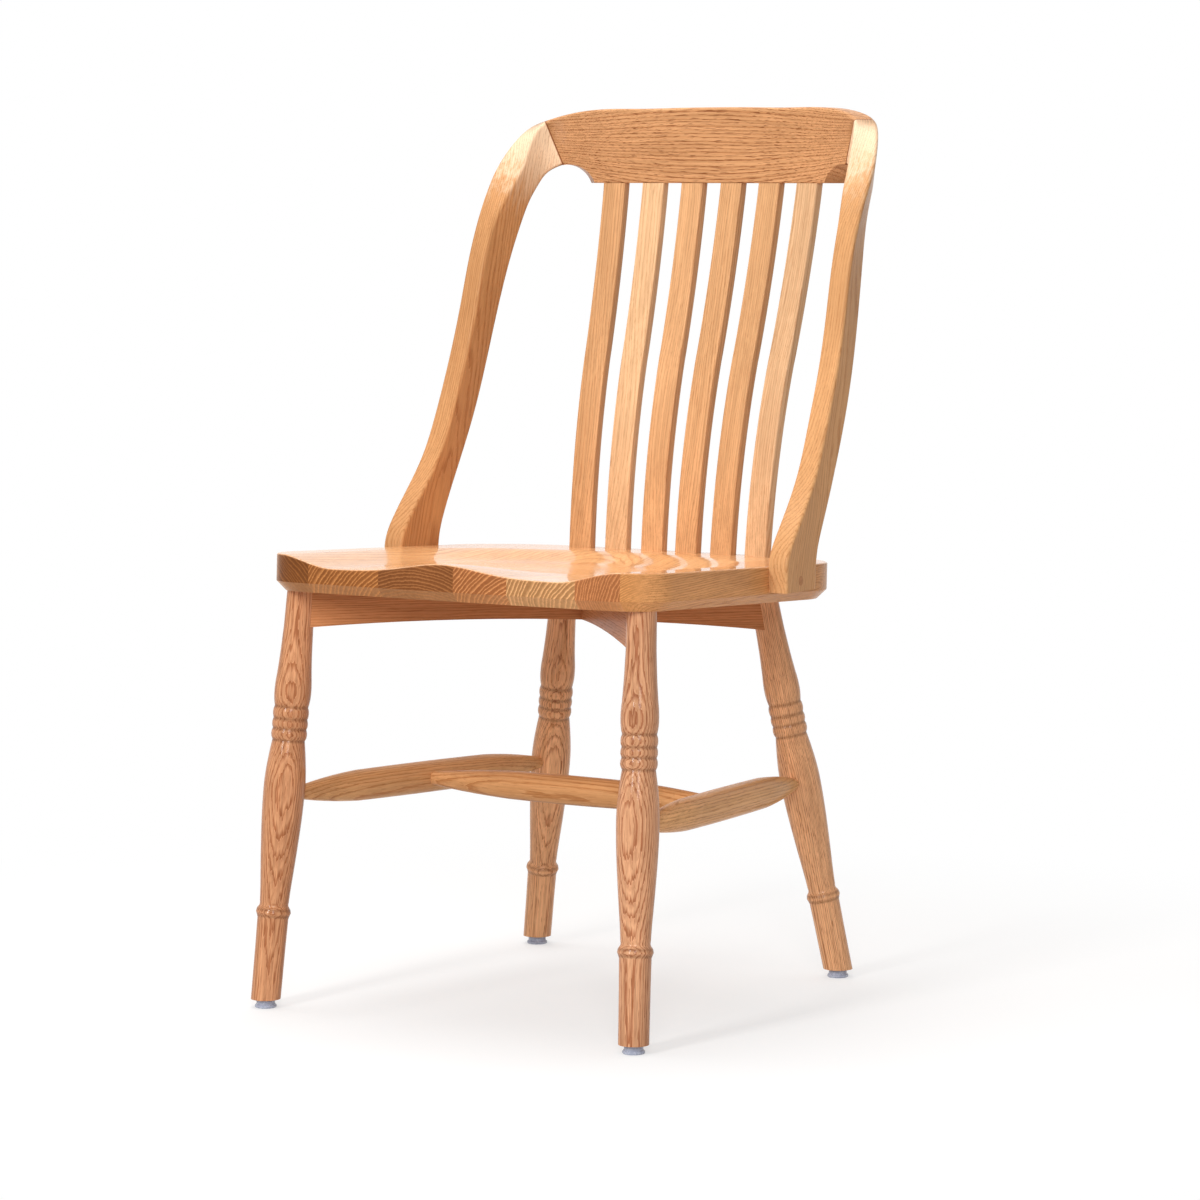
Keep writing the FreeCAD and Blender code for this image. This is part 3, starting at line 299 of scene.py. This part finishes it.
# stave, heart across and high, how the grain leans sideways and upwards, ring width, light,
# dark, and the sawn front end's late and early wood as shares of the light colour
STAVES = (
    (1, (-0.300, 0.300), (0.02, 0.01), 0.0034, (236, 180, 126), (212, 146, 92),
     (0.35, 0.23, 0.14), (0.21, 0.13, 0.08)),
    (2, (-0.020, 0.350), (0.01, 0.01), 0.0040, (240, 184, 130), (216, 150, 96),
     (0.66, 0.49, 0.33), (0.32, 0.20, 0.12)),
    (3, (-0.035, 0.320), (-0.01, 0.01), 0.0034, (242, 186, 132), (220, 154, 100),
     (0.44, 0.31, 0.22), (0.24, 0.15, 0.10)),
    (4, (0.110, 0.370), (0.00, 0.02), 0.0038, (236, 178, 122), (210, 144, 90),
     (0.80, 0.64, 0.54), (0.40, 0.26, 0.20)),
    (5, (0.190, 0.395), (0.01, 0.01), 0.0042, (244, 190, 136), (222, 158, 104),
     (0.88, 0.84, 0.78), (0.44, 0.37, 0.30)),
    (6, (0.250, 0.425), (-0.01, 0.01), 0.0030, (234, 172, 118), (206, 138, 84),
     (0.78, 0.64, 0.56), (0.46, 0.33, 0.27)),
    (7, (0.222, 0.420), (0.01, 0.04), 0.0022, (226, 164, 106), (198, 130, 78),
     (0.96, 0.92, 0.84), (0.66, 0.56, 0.46)),
)
for number, heart, lean, ring_width, light, dark, end_light, end_dark in STAVES:
    stave_oak = oak("seat_stave_%d_oak" % number, (lean[0], 1.0, lean[1]), (heart[0], 0.0, heart[1]),
                    colour(*light), colour(*dark), seat_pores, ring_width, pores=0.35,
                    end_light=(*end_light, 1.0), end_dark=(*end_dark, 1.0), gloss=0.22, polish=0.6,
                    polished_top=True)
    dress(nodes["seat_stave_%d" % number], stave_oak)


# Legs
# Four oak legs, turned on the lathe to one pattern: an ankle with a ring, a long belly, three
# beads and a small vase under the seat. The foot is sawn level, and the head is sawn to the
# underside of the seat. The grooves that the beads leave are darkened with painted shade.
MM = 0.001
TURNED_SIDES = 96
# An arc takes one point for each of these lengths, in millimetres
ARC_STEP = 3.0
# A corner whose curve is tighter than this is a bead, and painted shade lies so far from its ends
BEAD_CURVE = 20
GROOVE_SHADE_REACH = 1.6
OUT_OF_REACH = 9.0


def turned_outline(corners):
    """Points of an outline from top to bottom, each with the painted shade it takes. A corner
    is (radius, height) or (radius, height, curve), where curve is the radius of the arc to the
    next corner, negative where it is hollow. Two arcs meet in a groove, darkened with painted shade."""
    points = []
    for corner, following in zip(corners, corners[1:]):
        start = Vector(corner[:2])
        stop = Vector(following[:2])
        chord = stop - start
        steps = max(2, round(chord.length / ARC_STEP))
        curve = corner[2] if len(corner) == 3 else None
        for step in range(steps):
            share = step / steps
            place = start.lerp(stop, share)
            if curve:
                half = chord.length / 2
                off = (share - 0.5) * chord.length
                rise = math.sqrt(curve ** 2 - off ** 2) - math.sqrt(curve ** 2 - half ** 2)
                outwards = Vector((chord.y, -chord.x)).normalized()
                place += outwards * math.copysign(rise, curve)
            points.append(place)
    points.append(Vector(corners[-1][:2]))
    bead_ends = []
    for corner, following in zip(corners, corners[1:]):
        if len(corner) == 3 and 0 < corner[2] < BEAD_CURVE:
            bead_ends += [Vector(corner[:2]), Vector(following[:2])]
    # Painted shade for each point, strongest at the ends of the beads where the grooves lie
    stain = []
    for point in points:
        nearest = min([(point - end).length for end in bead_ends], default=OUT_OF_REACH)
        stain.append(math.exp(-(nearest / GROOVE_SHADE_REACH) ** 2))
    return [(point * MM, amount) for point, amount in zip(reversed(points), reversed(stain))]


def build_tree(name, sockets):
    """An empty Geometry Nodes tree with named inputs; gives the tree, its input and output."""
    tree = bpy.data.node_groups.new(name, "GeometryNodeTree")
    tree.interface.new_socket("Geometry", in_out="INPUT", socket_type="NodeSocketGeometry")
    for label, kind in sockets:
        tree.interface.new_socket(label, in_out="INPUT", socket_type=kind)
    tree.interface.new_socket("Geometry", in_out="OUTPUT", socket_type="NodeSocketGeometry")
    return tree, tree.nodes.new("NodeGroupInput").outputs, tree.nodes.new("NodeGroupOutput")


def close_tree(tree, given, result, geometry, crease):
    """Smooth faces with creases where they meet sharply, then the piece's own material."""
    smooth = wire(tree, "GeometryNodeSetShadeSmooth", Geometry=geometry)
    angle = tree.nodes.new("GeometryNodeInputMeshEdgeAngle").outputs["Unsigned Angle"]
    sharp = reckon(tree, "GREATER_THAN", angle, crease)
    creased = wire(tree, "GeometryNodeSetShadeSmooth", {"domain": "EDGE"}, Geometry=smooth.outputs[0],
                   Selection=sharp, Shade_Smooth=False)
    real = wire(tree, "GeometryNodeRealizeInstances", Geometry=creased.outputs[0])
    finished = wire(tree, "GeometryNodeSetMaterial", Geometry=real.outputs[0], Material=given["Material"])
    tree.links.new(finished.outputs[0], result.inputs[0])


# The outline is swept round a circle too small to show, and the ends on it are closed
AXIS_RADIUS = 1e-6
POLE_CLOSING = 4e-6
TURNED_CREASE = 0.55


def turning_tree():
    """Turns an outline round a Z axis, then stands it at a place along a direction."""
    tree, given, result = build_tree("turning", (
        ("Sides", "NodeSocketInt"), ("Start", "NodeSocketVector"), ("Direction", "NodeSocketVector"),
        ("Material", "NodeSocketMaterial"),
    ))
    outline = wire(tree, "GeometryNodeMeshToCurve", in0=given["Geometry"])
    axis = wire(tree, "GeometryNodeCurvePrimitiveCircle", Resolution=given["Sides"], Radius=AXIS_RADIUS)
    turned = wire(tree, "GeometryNodeCurveToMesh", Curve=axis.outputs[0], Profile_Curve=outline.outputs[0])
    closed = wire(tree, "GeometryNodeMergeByDistance", Geometry=turned.outputs[0], Distance=POLE_CLOSING)
    turn = wire(tree, "FunctionNodeAlignRotationToVector", {"axis": "Z"}, Vector=given["Direction"])
    stood = wire(tree, "GeometryNodeTransform", Geometry=closed.outputs[0], Translation=given["Start"],
                 Rotation=turn.outputs[0])
    close_tree(tree, given, result, stood.outputs[0], TURNED_CREASE)
    return tree


turning = turning_tree()


def worked(name, points, tree, values, shade_marks=None):
    """A piece worked by a Geometry Nodes tree from a line of points, as a plain mesh object."""
    line = bpy.data.meshes.new(name + "_line")
    line.from_pydata(points, [(number, number + 1) for number in range(len(points) - 1)], [])
    if shade_marks:
        line.attributes.new("stain", "FLOAT", "POINT").data.foreach_set("value", shade_marks)
    rough = bpy.data.objects.new(name + "_rough", line)
    scene.collection.objects.link(rough)
    modifier = rough.modifiers.new(tree.name, "NODES")
    modifier.node_group = tree
    for socket in tree.interface.items_tree:
        if socket.in_out == "INPUT" and socket.name in values:
            modifier[socket.identifier] = values[socket.name]
    depsgraph = bpy.context.evaluated_depsgraph_get()
    mesh = bpy.data.meshes.new_from_object(rough.evaluated_get(depsgraph), depsgraph=depsgraph)
    mesh.name = name
    rough.modifiers.clear()
    bpy.data.objects.remove(rough)
    bpy.data.meshes.remove(line)
    piece = bpy.data.objects.new(name, mesh)
    scene.collection.objects.link(piece)
    return piece


def turn_piece(name, outline, start, direction, material):
    """A piece turned to an outline, which stands at a place along a direction."""
    points = [(point.x, -point.y, 0.0) for point, amount in outline]
    shade_marks = [amount for point, amount in outline]
    values = {"Sides": TURNED_SIDES, "Start": tuple(start), "Direction": tuple(direction),
              "Material": material}
    return worked(name, points, turning, values, shade_marks)


def saw_off(piece, place, outwards):
    """A flat saw cut that takes away what lies outwards of a place, and closes the end."""
    work = bmesh.new()
    work.from_mesh(piece.data)
    parts = work.verts[:] + work.edges[:] + work.faces[:]
    cut = bmesh.ops.bisect_plane(work, geom=parts, plane_co=place, plane_no=outwards, clear_outer=True)
    rim = [part for part in cut["geom_cut"] if isinstance(part, bmesh.types.BMEdge)]
    made = bmesh.ops.contextual_create(work, geom=rim)
    for face in made["faces"]:
        face.smooth = False
        if face.normal.dot(Vector(outwards)) < 0:
            face.normal_flip()
    for edge in rim:
        edge.smooth = False
    work.to_mesh(piece.data)
    work.free()


def fit_piece(piece, node):
    """The piece stands in for its node, which is hidden, and rides with the chair."""
    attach(piece, "root")
    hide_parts(node)


# radius, height and curve, in millimetres, from the foot up
LEG = (
    (0, -4), (15.0, -4), (15.3, 53), (15.7, 82), (16.4, 84.3, 6.4), (17.0, 91), (14.7, 94.4, -8),
    (14.7, 98.8, -680), (16.5, 126, 2300), (19.4, 167, 770), (21.0, 209.5, 235), (19.6, 237.7, 490),
    (16.4, 262, 12.2), (17.0, 273.5, 12.8), (17.1, 283.9, 15.6), (16.9, 295.9, 62), (18.6, 311.6, 122),
    (17.65, 326.8, -755), (15.7, 357), (14.9, 376), (14.4, 437), (0, 437),
)
FOOT_CUT = 0.0087
SEAT_TILT = math.radians(2.43)
SEAT_TOP = 0.4496
seat_top_middle = Vector((0.0, -0.029, SEAT_TOP))
seat_up = Vector((0.0, math.sin(SEAT_TILT), math.cos(SEAT_TILT)))
SEAT_THICK = 0.037
seat_under_middle = seat_top_middle - seat_up * SEAT_THICK
leg_pores = colour(150, 86, 48)
FRONT_TRIM = 0.0
REAR_TRIM = 0.0089
# place, foot, lean inwards and backwards, how much the foot's end is trimmed
LEG_PLACES = (
    ("front", Vector((0.2172, -0.2596, FOOT_CUT)), (-0.0417, 0.098), FRONT_TRIM),
    ("rear", Vector((0.1874, 0.2016, FOOT_CUT)), (-0.1655, -0.1245), REAR_TRIM),
)
# how far the heart of the board lies to the right of the leg and behind it, light, dark; the rear legs'
# colours are painted lighter, as painted light
LEG_BOARDS_AND_LIGHT = {
    "leg_front_right": ((-0.004, 0.026), (224, 168, 126), (162, 94, 58)),
    "leg_front_left": ((-0.030, 0.050), (218, 158, 114), (164, 96, 56)),
    "leg_rear_right": ((0.045, 0.030), (240, 184, 136), (192, 126, 80)),
    "leg_rear_left": ((-0.040, 0.045), (246, 188, 138), (200, 132, 86)),
}
leg_outline = turned_outline(LEG)
for place, foot, (inwards, backwards), trim in LEG_PLACES:
    for side, sign in (("right", 1), ("left", -1)):
        name = "leg_%s_%s" % (place, side)
        heart_off, light, dark = LEG_BOARDS_AND_LIGHT[name]
        stand = Vector((sign * foot.x, foot.y, foot.z))
        way = Vector((sign * inwards, backwards, 1.0)).normalized()
        heart = stand + Vector((heart_off[0], heart_off[1], 0.0))
        # The legs' grooves take painted shade from the outline
        leg_oak = oak(name + "_oak", way, heart, colour(*light), colour(*dark), leg_pores,
                      ring_width=0.0017, wander=0.010, pores=0.6, streaks=0.13, gloss=0.2, polish=0.28,
                      stained="stain")
        leg = turn_piece(name, leg_outline, stand - way * trim, way, leg_oak)
        saw_off(leg, (0.0, 0.0, FOOT_CUT), (0.0, 0.0, -1.0))
        saw_off(leg, seat_under_middle, seat_up)
        fit_piece(leg, name)

# Side and middle stretchers
# Long oak spindles that swell towards the middle, turned like the legs. The side ones run from
# front leg to rear leg, and the middle one joins them; all end in round tenons in their sockets.
# In millimetres: radius of the tenon, where it starts and ends, greatest radius and where it is
# reached, and the curves of the taper and of the belly between
SIDE = {"tenon": 6.3, "start": 8, "shoulder": 21, "swell": 15.9, "swell_at": 110, "taper": 720,
        "belly": 10000}
MIDDLE = {"tenon": 7.0, "start": 6, "shoulder": 16, "swell": 14.6, "swell_at": 112, "taper": 1150,
          "belly": 4000}
SIDE_FRONT_UP = 0.2144
SIDE_REAR_UP = 0.2063
spindle_pores = colour(152, 90, 48)


def leg_at_height(place, height):
    """The point of a right leg's axis at a height above the floor."""
    foot, lean = next((foot, lean) for label, foot, lean, trim in LEG_PLACES if label == place)
    return foot + Vector((lean[0], lean[1], 1.0)) * (height - FOOT_CUT)


def spindle(tenon, start, shoulder, swell, swell_at, taper, belly, length):
    """Outline of a stretcher from its one tenon to the other, in millimetres."""
    return turned_outline((
        (0, start), (tenon, start), (tenon, shoulder, taper), (swell, swell_at, belly),
        (swell, length - swell_at, taper), (tenon, length - shoulder), (tenon, length - start),
        (0, length - start),
    ))


side_from = leg_at_height("front", SIDE_FRONT_UP)
side_to = leg_at_height("rear", SIDE_REAR_UP)
side_outline = spindle(length=(side_to - side_from).length / MM, **SIDE)
for side, sign, heart_off, light, dark in (
    ("right", 1, (0.010, 0.040), (240, 184, 128), (208, 148, 94)),
    ("left", -1, (-0.030, 0.035), (222, 170, 118), (192, 132, 84)),
):
    name = "side_stretcher_" + side
    start = Vector((sign * side_from.x, side_from.y, side_from.z))
    way = Vector((sign * (side_to - side_from).x, (side_to - side_from).y, (side_to - side_from).z))
    heart = start + Vector((heart_off[0], 0.0, heart_off[1]))
    side_oak = oak(name + "_oak", way, heart, colour(*light), colour(*dark), spindle_pores,
                   ring_width=0.0032, pores=0.4)
    fit_piece(turn_piece(name, side_outline, start, way, side_oak), name)
middle_to = (side_from + side_to) / 2
middle_from = Vector((-middle_to.x, middle_to.y, middle_to.z))
middle_oak = oak("middle_stretcher_oak", (1.0, 0.0, 0.0), middle_from + Vector((0.0, 0.050, 0.020)),
                 colour(218, 162, 110), colour(186, 124, 74), spindle_pores, ring_width=0.0034, pores=0.4)
middle_outline = spindle(length=2 * middle_to.x / MM, **MIDDLE)
middle = turn_piece("middle_stretcher", middle_outline, middle_from, Vector((1.0, 0.0, 0.0)), middle_oak)
fit_piece(middle, "middle_stretcher")

# Crossed rails
# Two arched oak rails run from leg to leg under the seat and halve over each other. They are
# screwed up into the seat, and the finish on them is a little thinner and duller.
RAIL_SPREAD = 0.86
for node, side in (("cross_rail_front_left", 1), ("cross_rail_front_right", -1)):
    rail_oak = oak(node + "_oak", (RAIL_SPREAD * side, 1.0, 0.0), (0.0, 0.0, 0.33), colour(204, 140, 94),
                   colour(176, 112, 70), spindle_pores, ring_width=0.0026, gloss=0.36, pores=0.4)
    dress(nodes[node], rail_oak)

# Slats
# Six oak slats, each sawn to a lazy S in side view with its arrises eased. They are let into
# the seat, splay apart upwards and turn a little to follow the curve of the crest.
SLAT_WIDTH = 0.026
SLAT_THICK = 0.012
SLAT_EDGE_ROUND = 0.0012
SLAT_ROOT_DROP = 0.0046
SLAT_ROOT_UP = SEAT_TOP - SLAT_ROOT_DROP
SLAT_ROOT_DEPTH = 0.019
CREST_RISE = 0.3804
CREST_LOW = SEAT_TOP + CREST_RISE
SLAT_CREASE = 0.5
slat_knee = Vector((0.0417, 0.210))
slat_tip = Vector((0.0862, CREST_LOW - SLAT_ROOT_UP))
SLAT_LEANS = (math.radians(4.6), math.radians(17.7), math.radians(11.0))
SLAT_STEPS = 20


def bent(start, stop, lean_start, lean_stop):
    """Places along a slat's front face between two points, each with its lean there."""
    stretch = []
    sweep = lean_stop - lean_start
    radius = (stop - start).length / (2 * math.sin(sweep / 2))
    for step in range(SLAT_STEPS):
        lean = lean_start + sweep * step / SLAT_STEPS
        run = radius * (math.cos(lean_start) - math.cos(lean))
        rise = radius * (math.sin(lean) - math.sin(lean_start))
        stretch.append((start + Vector((run, rise)), lean))
    return stretch


def slat_line():
    """The middle line of a slat in side view, from its heel in the seat to above its shoulder."""
    root_lean, knee_lean, tip_lean = SLAT_LEANS
    root = Vector((0.0, 0.0))
    heel = root - Vector((math.sin(root_lean), math.cos(root_lean))) * SLAT_ROOT_DEPTH
    cap = slat_tip + Vector((math.sin(tip_lean), math.cos(tip_lean))) * SLAT_THICK / 2
    front = [(heel, root_lean)] + bent(root, slat_knee, root_lean, knee_lean)
    front += bent(slat_knee, slat_tip, knee_lean, tip_lean) + [(slat_tip, tip_lean), (cap, tip_lean)]
    line = []
    for place, lean in front:
        inwards = Vector((math.cos(lean), -math.sin(lean))) * SLAT_THICK / 2
        line.append((0.0, *(place + inwards)))
    return line


def slat_tree():
    """Sweeps a rounded rectangle along a slat's middle line, turns it and stands it at its root."""
    tree, given, result = build_tree("slat", (
        ("Width", "NodeSocketFloat"), ("Thickness", "NodeSocketFloat"), ("Edge Round", "NodeSocketFloat"),
        ("Root", "NodeSocketVector"), ("Stance", "NodeSocketVector"), ("Material", "NodeSocketMaterial"),
    ))
    path = wire(tree, "GeometryNodeMeshToCurve", in0=given["Geometry"])
    steady = wire(tree, "GeometryNodeSetCurveNormal", {"mode": "FREE"}, Curve=path.outputs[0],
                  Normal=(1.0, 0.0, 0.0))
    section = wire(tree, "GeometryNodeCurvePrimitiveQuadrilateral", Width=given["Width"],
                   Height=given["Thickness"])
    rounded = wire(tree, "GeometryNodeFilletCurve", {"mode": "POLY"}, Curve=section.outputs[0], Count=4,
                   Radius=given["Edge Round"])
    swept = wire(tree, "GeometryNodeCurveToMesh", Curve=steady.outputs[0], Profile_Curve=rounded.outputs[0],
                 Fill_Caps=True)
    stance = wire(tree, "FunctionNodeEulerToRotation", in0=given["Stance"])
    stood = wire(tree, "GeometryNodeTransform", Geometry=swept.outputs[0], Translation=given["Root"],
                 Rotation=stance.outputs[0])
    close_tree(tree, given, result, stood.outputs[0], SLAT_CREASE)
    return tree


slatting = slat_tree()
slat_pores = colour(168, 104, 58)
# pair, x at the seat, x under the crest, y at the seat, turn to the crest's curve in degrees
SLAT_PAIRS = (
    ("inner", 0.0209, 0.0241, 0.1641, 0.9),
    ("middle", 0.0644, 0.0714, 0.1624, 2.7),
    ("outer", 0.1075, 0.1186, 0.1598, 4.5),
)
# light and dark of each slat's board, and the place of its heart beside and behind the slat
SLAT_BOARDS = {
    "slat_inner_right": ((0.060, 0.030), (228, 177, 128), (194, 139, 92)),
    "slat_inner_left": ((-0.070, 0.050), (228, 177, 128), (204, 149, 102)),
    "slat_middle_right": ((0.080, 0.020), (224, 175, 126), (200, 145, 100)),
    "slat_middle_left": ((0.050, 0.070), (234, 191, 146), (214, 165, 120)),
    "slat_outer_right": ((-0.060, 0.040), (230, 189, 146), (206, 157, 114)),
    "slat_outer_left": ((0.070, 0.060), (224, 173, 124), (198, 141, 94)),
}
for pair, x_root, x_top, y_root, turn_degrees in SLAT_PAIRS:
    for side, sign in (("right", 1), ("left", -1)):
        name = "slat_%s_%s" % (pair, side)
        heart_off, light, dark = SLAT_BOARDS[name]
        turn = math.radians(turn_degrees)
        splay = math.atan2(x_top - x_root - slat_tip.x * math.sin(turn), slat_tip.y)
        stance = Matrix.Rotation(sign * splay, 3, "Y") @ Matrix.Rotation(-sign * turn, 3, "Z")
        root = Vector((sign * x_root, y_root, SLAT_ROOT_UP))
        upwards = Vector((sign * (x_top - x_root), slat_tip.x, slat_tip.y))
        heart = root + Vector((heart_off[0], heart_off[1], 0.0))
        slat_oak = oak(name + "_oak", upwards, heart, colour(*light), colour(*dark), slat_pores,
                       ring_width=0.0024, wander=0.006, pores=0.25, rays=0.4, streaks=0.09)
        values = {"Width": SLAT_WIDTH, "Thickness": SLAT_THICK, "Edge Round": SLAT_EDGE_ROUND,
                  "Root": tuple(root), "Stance": tuple(stance.to_euler()), "Material": slat_oak}
        slat = worked(name, slat_line(), slatting, values)
        saw_off(slat, (0.0, 0.0, CREST_LOW), (0.0, 0.0, 1.0))
        fit_piece(slat, name)

# Back posts
# Two oak posts of even thickness stand beside the seat, kink back above it and sweep inwards
# into the crest. They are shaped from thick boards, so the grain runs straight through them.
post_pores = colour(156, 92, 48)
# The joint with the crest: a place on it, and the direction square to it
CREST_JOINT = ((0.1896, 0.2184, 0.8960), (0.7097, -0.5913, -0.3829))
# The arms that sweep into the crest are painted paler, partly as paler sapwood and partly as a painted
# highlight
ARM_SAPWOOD_AND_HIGHLIGHT = ((0.190, 0.215, 0.885), 0.100, colour(255, 222, 186))
# node, heart, light, dark; the left post is darker, partly its own board and partly painted shade
for node, heart, light, dark in (
    ("back_post_right", (0.170, 0.120, 0.60), (221, 167, 115), (199, 139, 89)),
    ("back_post_left", (-0.270, 0.090, 0.60), (211, 156, 105), (184, 124, 78)),
):
    post_oak = oak(node + "_oak", (0.0, 0.28, 1.0), heart, colour(*light), colour(*dark), post_pores,
                   ring_width=0.0026, wander=0.014, pores=0.25, rays=0.4, streaks=0.06, joint=CREST_JOINT,
                   sapwood_and_highlight=ARM_SAPWOOD_AND_HIGHLIGHT)
    dress(nodes[node], post_oak)

# Crest rail
# One deep oak board, sawn to a long curve, closes the back between the posts. Its face cuts
# across the grain, so that the pores show as many short dark strokes that fan out at the ends.
crest_oak = oak("crest_rail_oak", (1.0, 0.0, 0.0), (0.0, 0.215, -0.110), colour(216, 162, 114),
                colour(188, 128, 82), colour(112, 52, 24), ring_width=0.0040, wander=0.016, pore_size=1.1,
                pores=0.75, streaks=0.10, pinch=(0.868, 16.0), joint=CREST_JOINT)
dress(nodes["crest_rail"], crest_oak)

# Plugs and dowels
# A round oak plug, planed flush, hides the screw in the foot of each post; its grain lies across
# the post's. Two beech dowels cross each joint between post and crest.
for node in ("post_plug_right", "post_plug_left"):
    plug_oak = oak(node + "_oak", (0.0, 1.0, 0.2), (0.0, 0.0, 0.40), colour(196, 136, 88),
                   colour(168, 104, 62), post_pores)
    dress(nodes[node], plug_oak)
dowel_beech = oak("dowel_beech", (0.8, 0.5, 0.0), (0.0, 0.0, 0.70), colour(226, 190, 148),
                  colour(214, 174, 130), colour(180, 136, 94), pores=0.15, rays=0.5, gloss=0.55)
dress(nodes["crest_dowels"], dowel_beech)


# Glides
# A blue-grey nylon button stands under each foot and keeps the wood off the floor. It is
# moulded, with a flared rim, and its sole is scuffed.
def scuffed(name, tone, scratched, gloss, metallic=0.0):
    """A moulded or plated surface with cloudy tone and fine scratches."""
    material = bpy.data.materials.new(name)
    material.use_nodes = True
    tree = material.node_tree
    tree.nodes.clear()
    place = tree.nodes.new("ShaderNodeTexCoord").outputs["Object"]
    cloud = grains(tree, place, (260.0, 260.0, 260.0), 3.0)
    scratch = grains(tree, place, (5200.0, 700.0, 900.0), 2.0)
    worn = reckon(tree, "MULTIPLY", eased(tree, cloud.outputs[0], 0.35, 0.7),
                  eased(tree, scratch.outputs[0], 0.45, 0.7))
    face = blended(tree, worn, tone, scratched)
    bump = wire(tree, "ShaderNodeBump", Strength=0.2, Distance=0.0001, Height=scratch.outputs[0])
    rough = eased(tree, cloud.outputs[0], 0.3, 0.7, gloss - 0.06, gloss + 0.12)
    surface = wire(tree, "ShaderNodeBsdfPrincipled", Base_Color=face, Roughness=rough, Metallic=metallic,
                   Normal=bump.outputs[0])
    output = tree.nodes.new("ShaderNodeOutputMaterial")
    tree.links.new(surface.outputs[0], output.inputs["Surface"])
    return material


GLIDE = (
    (3.6, 0), (10.2, 0), (11.0, 0.8), (11.0, 2.4), (9.4, 4.0), (9.4, 8.7), (1.4, 8.7), (1.4, 2.2),
    (3.6, 2.2), (3.6, 0),
)
glide_nylon = scuffed("glide_nylon", colour(172, 179, 200), colour(236, 239, 246), 0.24)
glide_outline = turned_outline(GLIDE)
for place, foot, lean, trim in LEG_PLACES:
    for side, sign in (("right", 1), ("left", -1)):
        name = "glide_%s_%s" % (place, side)
        under = Vector((sign * foot.x, foot.y, 0.0))
        glide = turn_piece(name, glide_outline, under, (0.0, 0.0, 1.0), glide_nylon)
        fit_piece(glide, name)

# Nails and screws
# A zinc-plated nail holds each glide, and countersunk screws hold the rails and the posts. They
# are sunk in the wood or in the glides.
zinc_steel = scuffed("zinc_steel", colour(190, 192, 196), colour(150, 150, 150), 0.34, 1.0)
for node in ("glide_nails", "rail_screws", "post_screws"):
    dress(nodes[node], zinc_steel)

# Floor and light
# A white studio: the floor stays white and keeps the chair's soft shadow. One softbox stands
# straight in front of the chair, one beside the camera, and a large one hangs overhead.
FLOOR_HALF = 4.0
SHADOW_DEPTH = 0.42
SHADOW_FADES_FROM = 0.45
SHADOW_FADES_TO = 1.1
AMBIENT = 0.30


def backdrop_seen(tree):
    """1 where a ray shows the white backdrop: from the camera, in a reflection or through glass."""
    seen = tree.nodes.new("ShaderNodeLightPath").outputs
    reflected = reckon(tree, "MAXIMUM", seen["Is Glossy Ray"], seen["Is Transmission Ray"])
    return reckon(tree, "MAXIMUM", seen["Is Camera Ray"], reflected)


floor_mesh = bpy.data.meshes.new("floor")
floor_corners = [(-FLOOR_HALF, -FLOOR_HALF, 0), (FLOOR_HALF, -FLOOR_HALF, 0), (FLOOR_HALF, FLOOR_HALF, 0),
                 (-FLOOR_HALF, FLOOR_HALF, 0)]
floor_mesh.from_pydata(floor_corners, [], [(0, 1, 2, 3)])
floor = bpy.data.objects.new("floor", floor_mesh)
scene.collection.objects.link(floor)
floor_paint = bpy.data.materials.new("floor_paint")
floor_paint.use_nodes = True
tree = floor_paint.node_tree
tree.nodes.clear()
paint = wire(tree, "ShaderNodeBsdfDiffuse", Color=(0.70, 0.68, 0.67, 1.0))
shadow_paint = wire(tree, "ShaderNodeBsdfDiffuse", Color=(1.0, 0.985, 0.975, 1.0))
glow = wire(tree, "ShaderNodeEmission", Color=(1.0, 1.0, 1.0, 1.0), Strength=1.0)
floor_place = tree.nodes.new("ShaderNodeTexCoord").outputs["Object"]
away = wire(tree, "ShaderNodeVectorMath", {"operation": "LENGTH"}, in0=floor_place).outputs["Value"]
shadow_part = eased(tree, away, SHADOW_FADES_FROM, SHADOW_FADES_TO, SHADOW_DEPTH, 0.0)
shown_floor = wire(tree, "ShaderNodeMixShader", in0=shadow_part, in1=glow.outputs[0],
                   in2=shadow_paint.outputs[0])
either = wire(tree, "ShaderNodeMixShader", in0=backdrop_seen(tree), in1=paint.outputs[0],
              in2=shown_floor.outputs[0])
output = tree.nodes.new("ShaderNodeOutputMaterial")
tree.links.new(either.outputs[0], output.inputs["Surface"])
floor_mesh.materials.append(floor_paint)


def lamp(name, place, aim, width, height, power):
    """A softbox that stands at a place and faces another."""
    data = bpy.data.lights.new(name, "AREA")
    data.shape = "RECTANGLE"
    data.size = width
    data.size_y = height
    data.energy = power
    softbox = bpy.data.objects.new(name, data)
    scene.collection.objects.link(softbox)
    softbox.location = place
    softbox.rotation_euler = (Vector(aim) - Vector(place)).to_track_quat("-Z", "Y").to_euler()


# name, place, what it faces, width, height, watts
for softbox in (
    ("left_softbox", (-0.3, -3.3, 2.0), (0, 0, 0.5), 0.5, 1.7, 52),
    ("right_softbox", (1.8, -2.9, 1.9), (0, 0, 0.5), 0.9, 1.6, 42),
    ("top_softbox", (-0.5, 0.2, 3.0), (0, 0, 0.4), 2.0, 2.0, 60),
):
    lamp(*softbox)

studio = bpy.data.worlds.new("studio")
studio.use_nodes = True
tree = studio.node_tree
tree.nodes.clear()
ambient = wire(tree, "ShaderNodeBackground", Color=(1, 1, 1, 1), Strength=AMBIENT)
backdrop = wire(tree, "ShaderNodeBackground", Color=(1, 1, 1, 1), Strength=1.0)
either = wire(tree, "ShaderNodeMixShader", in0=backdrop_seen(tree), in1=ambient.outputs[0],
              in2=backdrop.outputs[0])
output = tree.nodes.new("ShaderNodeOutputWorld")
tree.links.new(either.outputs[0], output.inputs["Surface"])
scene.world = studio
scene.view_settings.view_transform = "Standard"
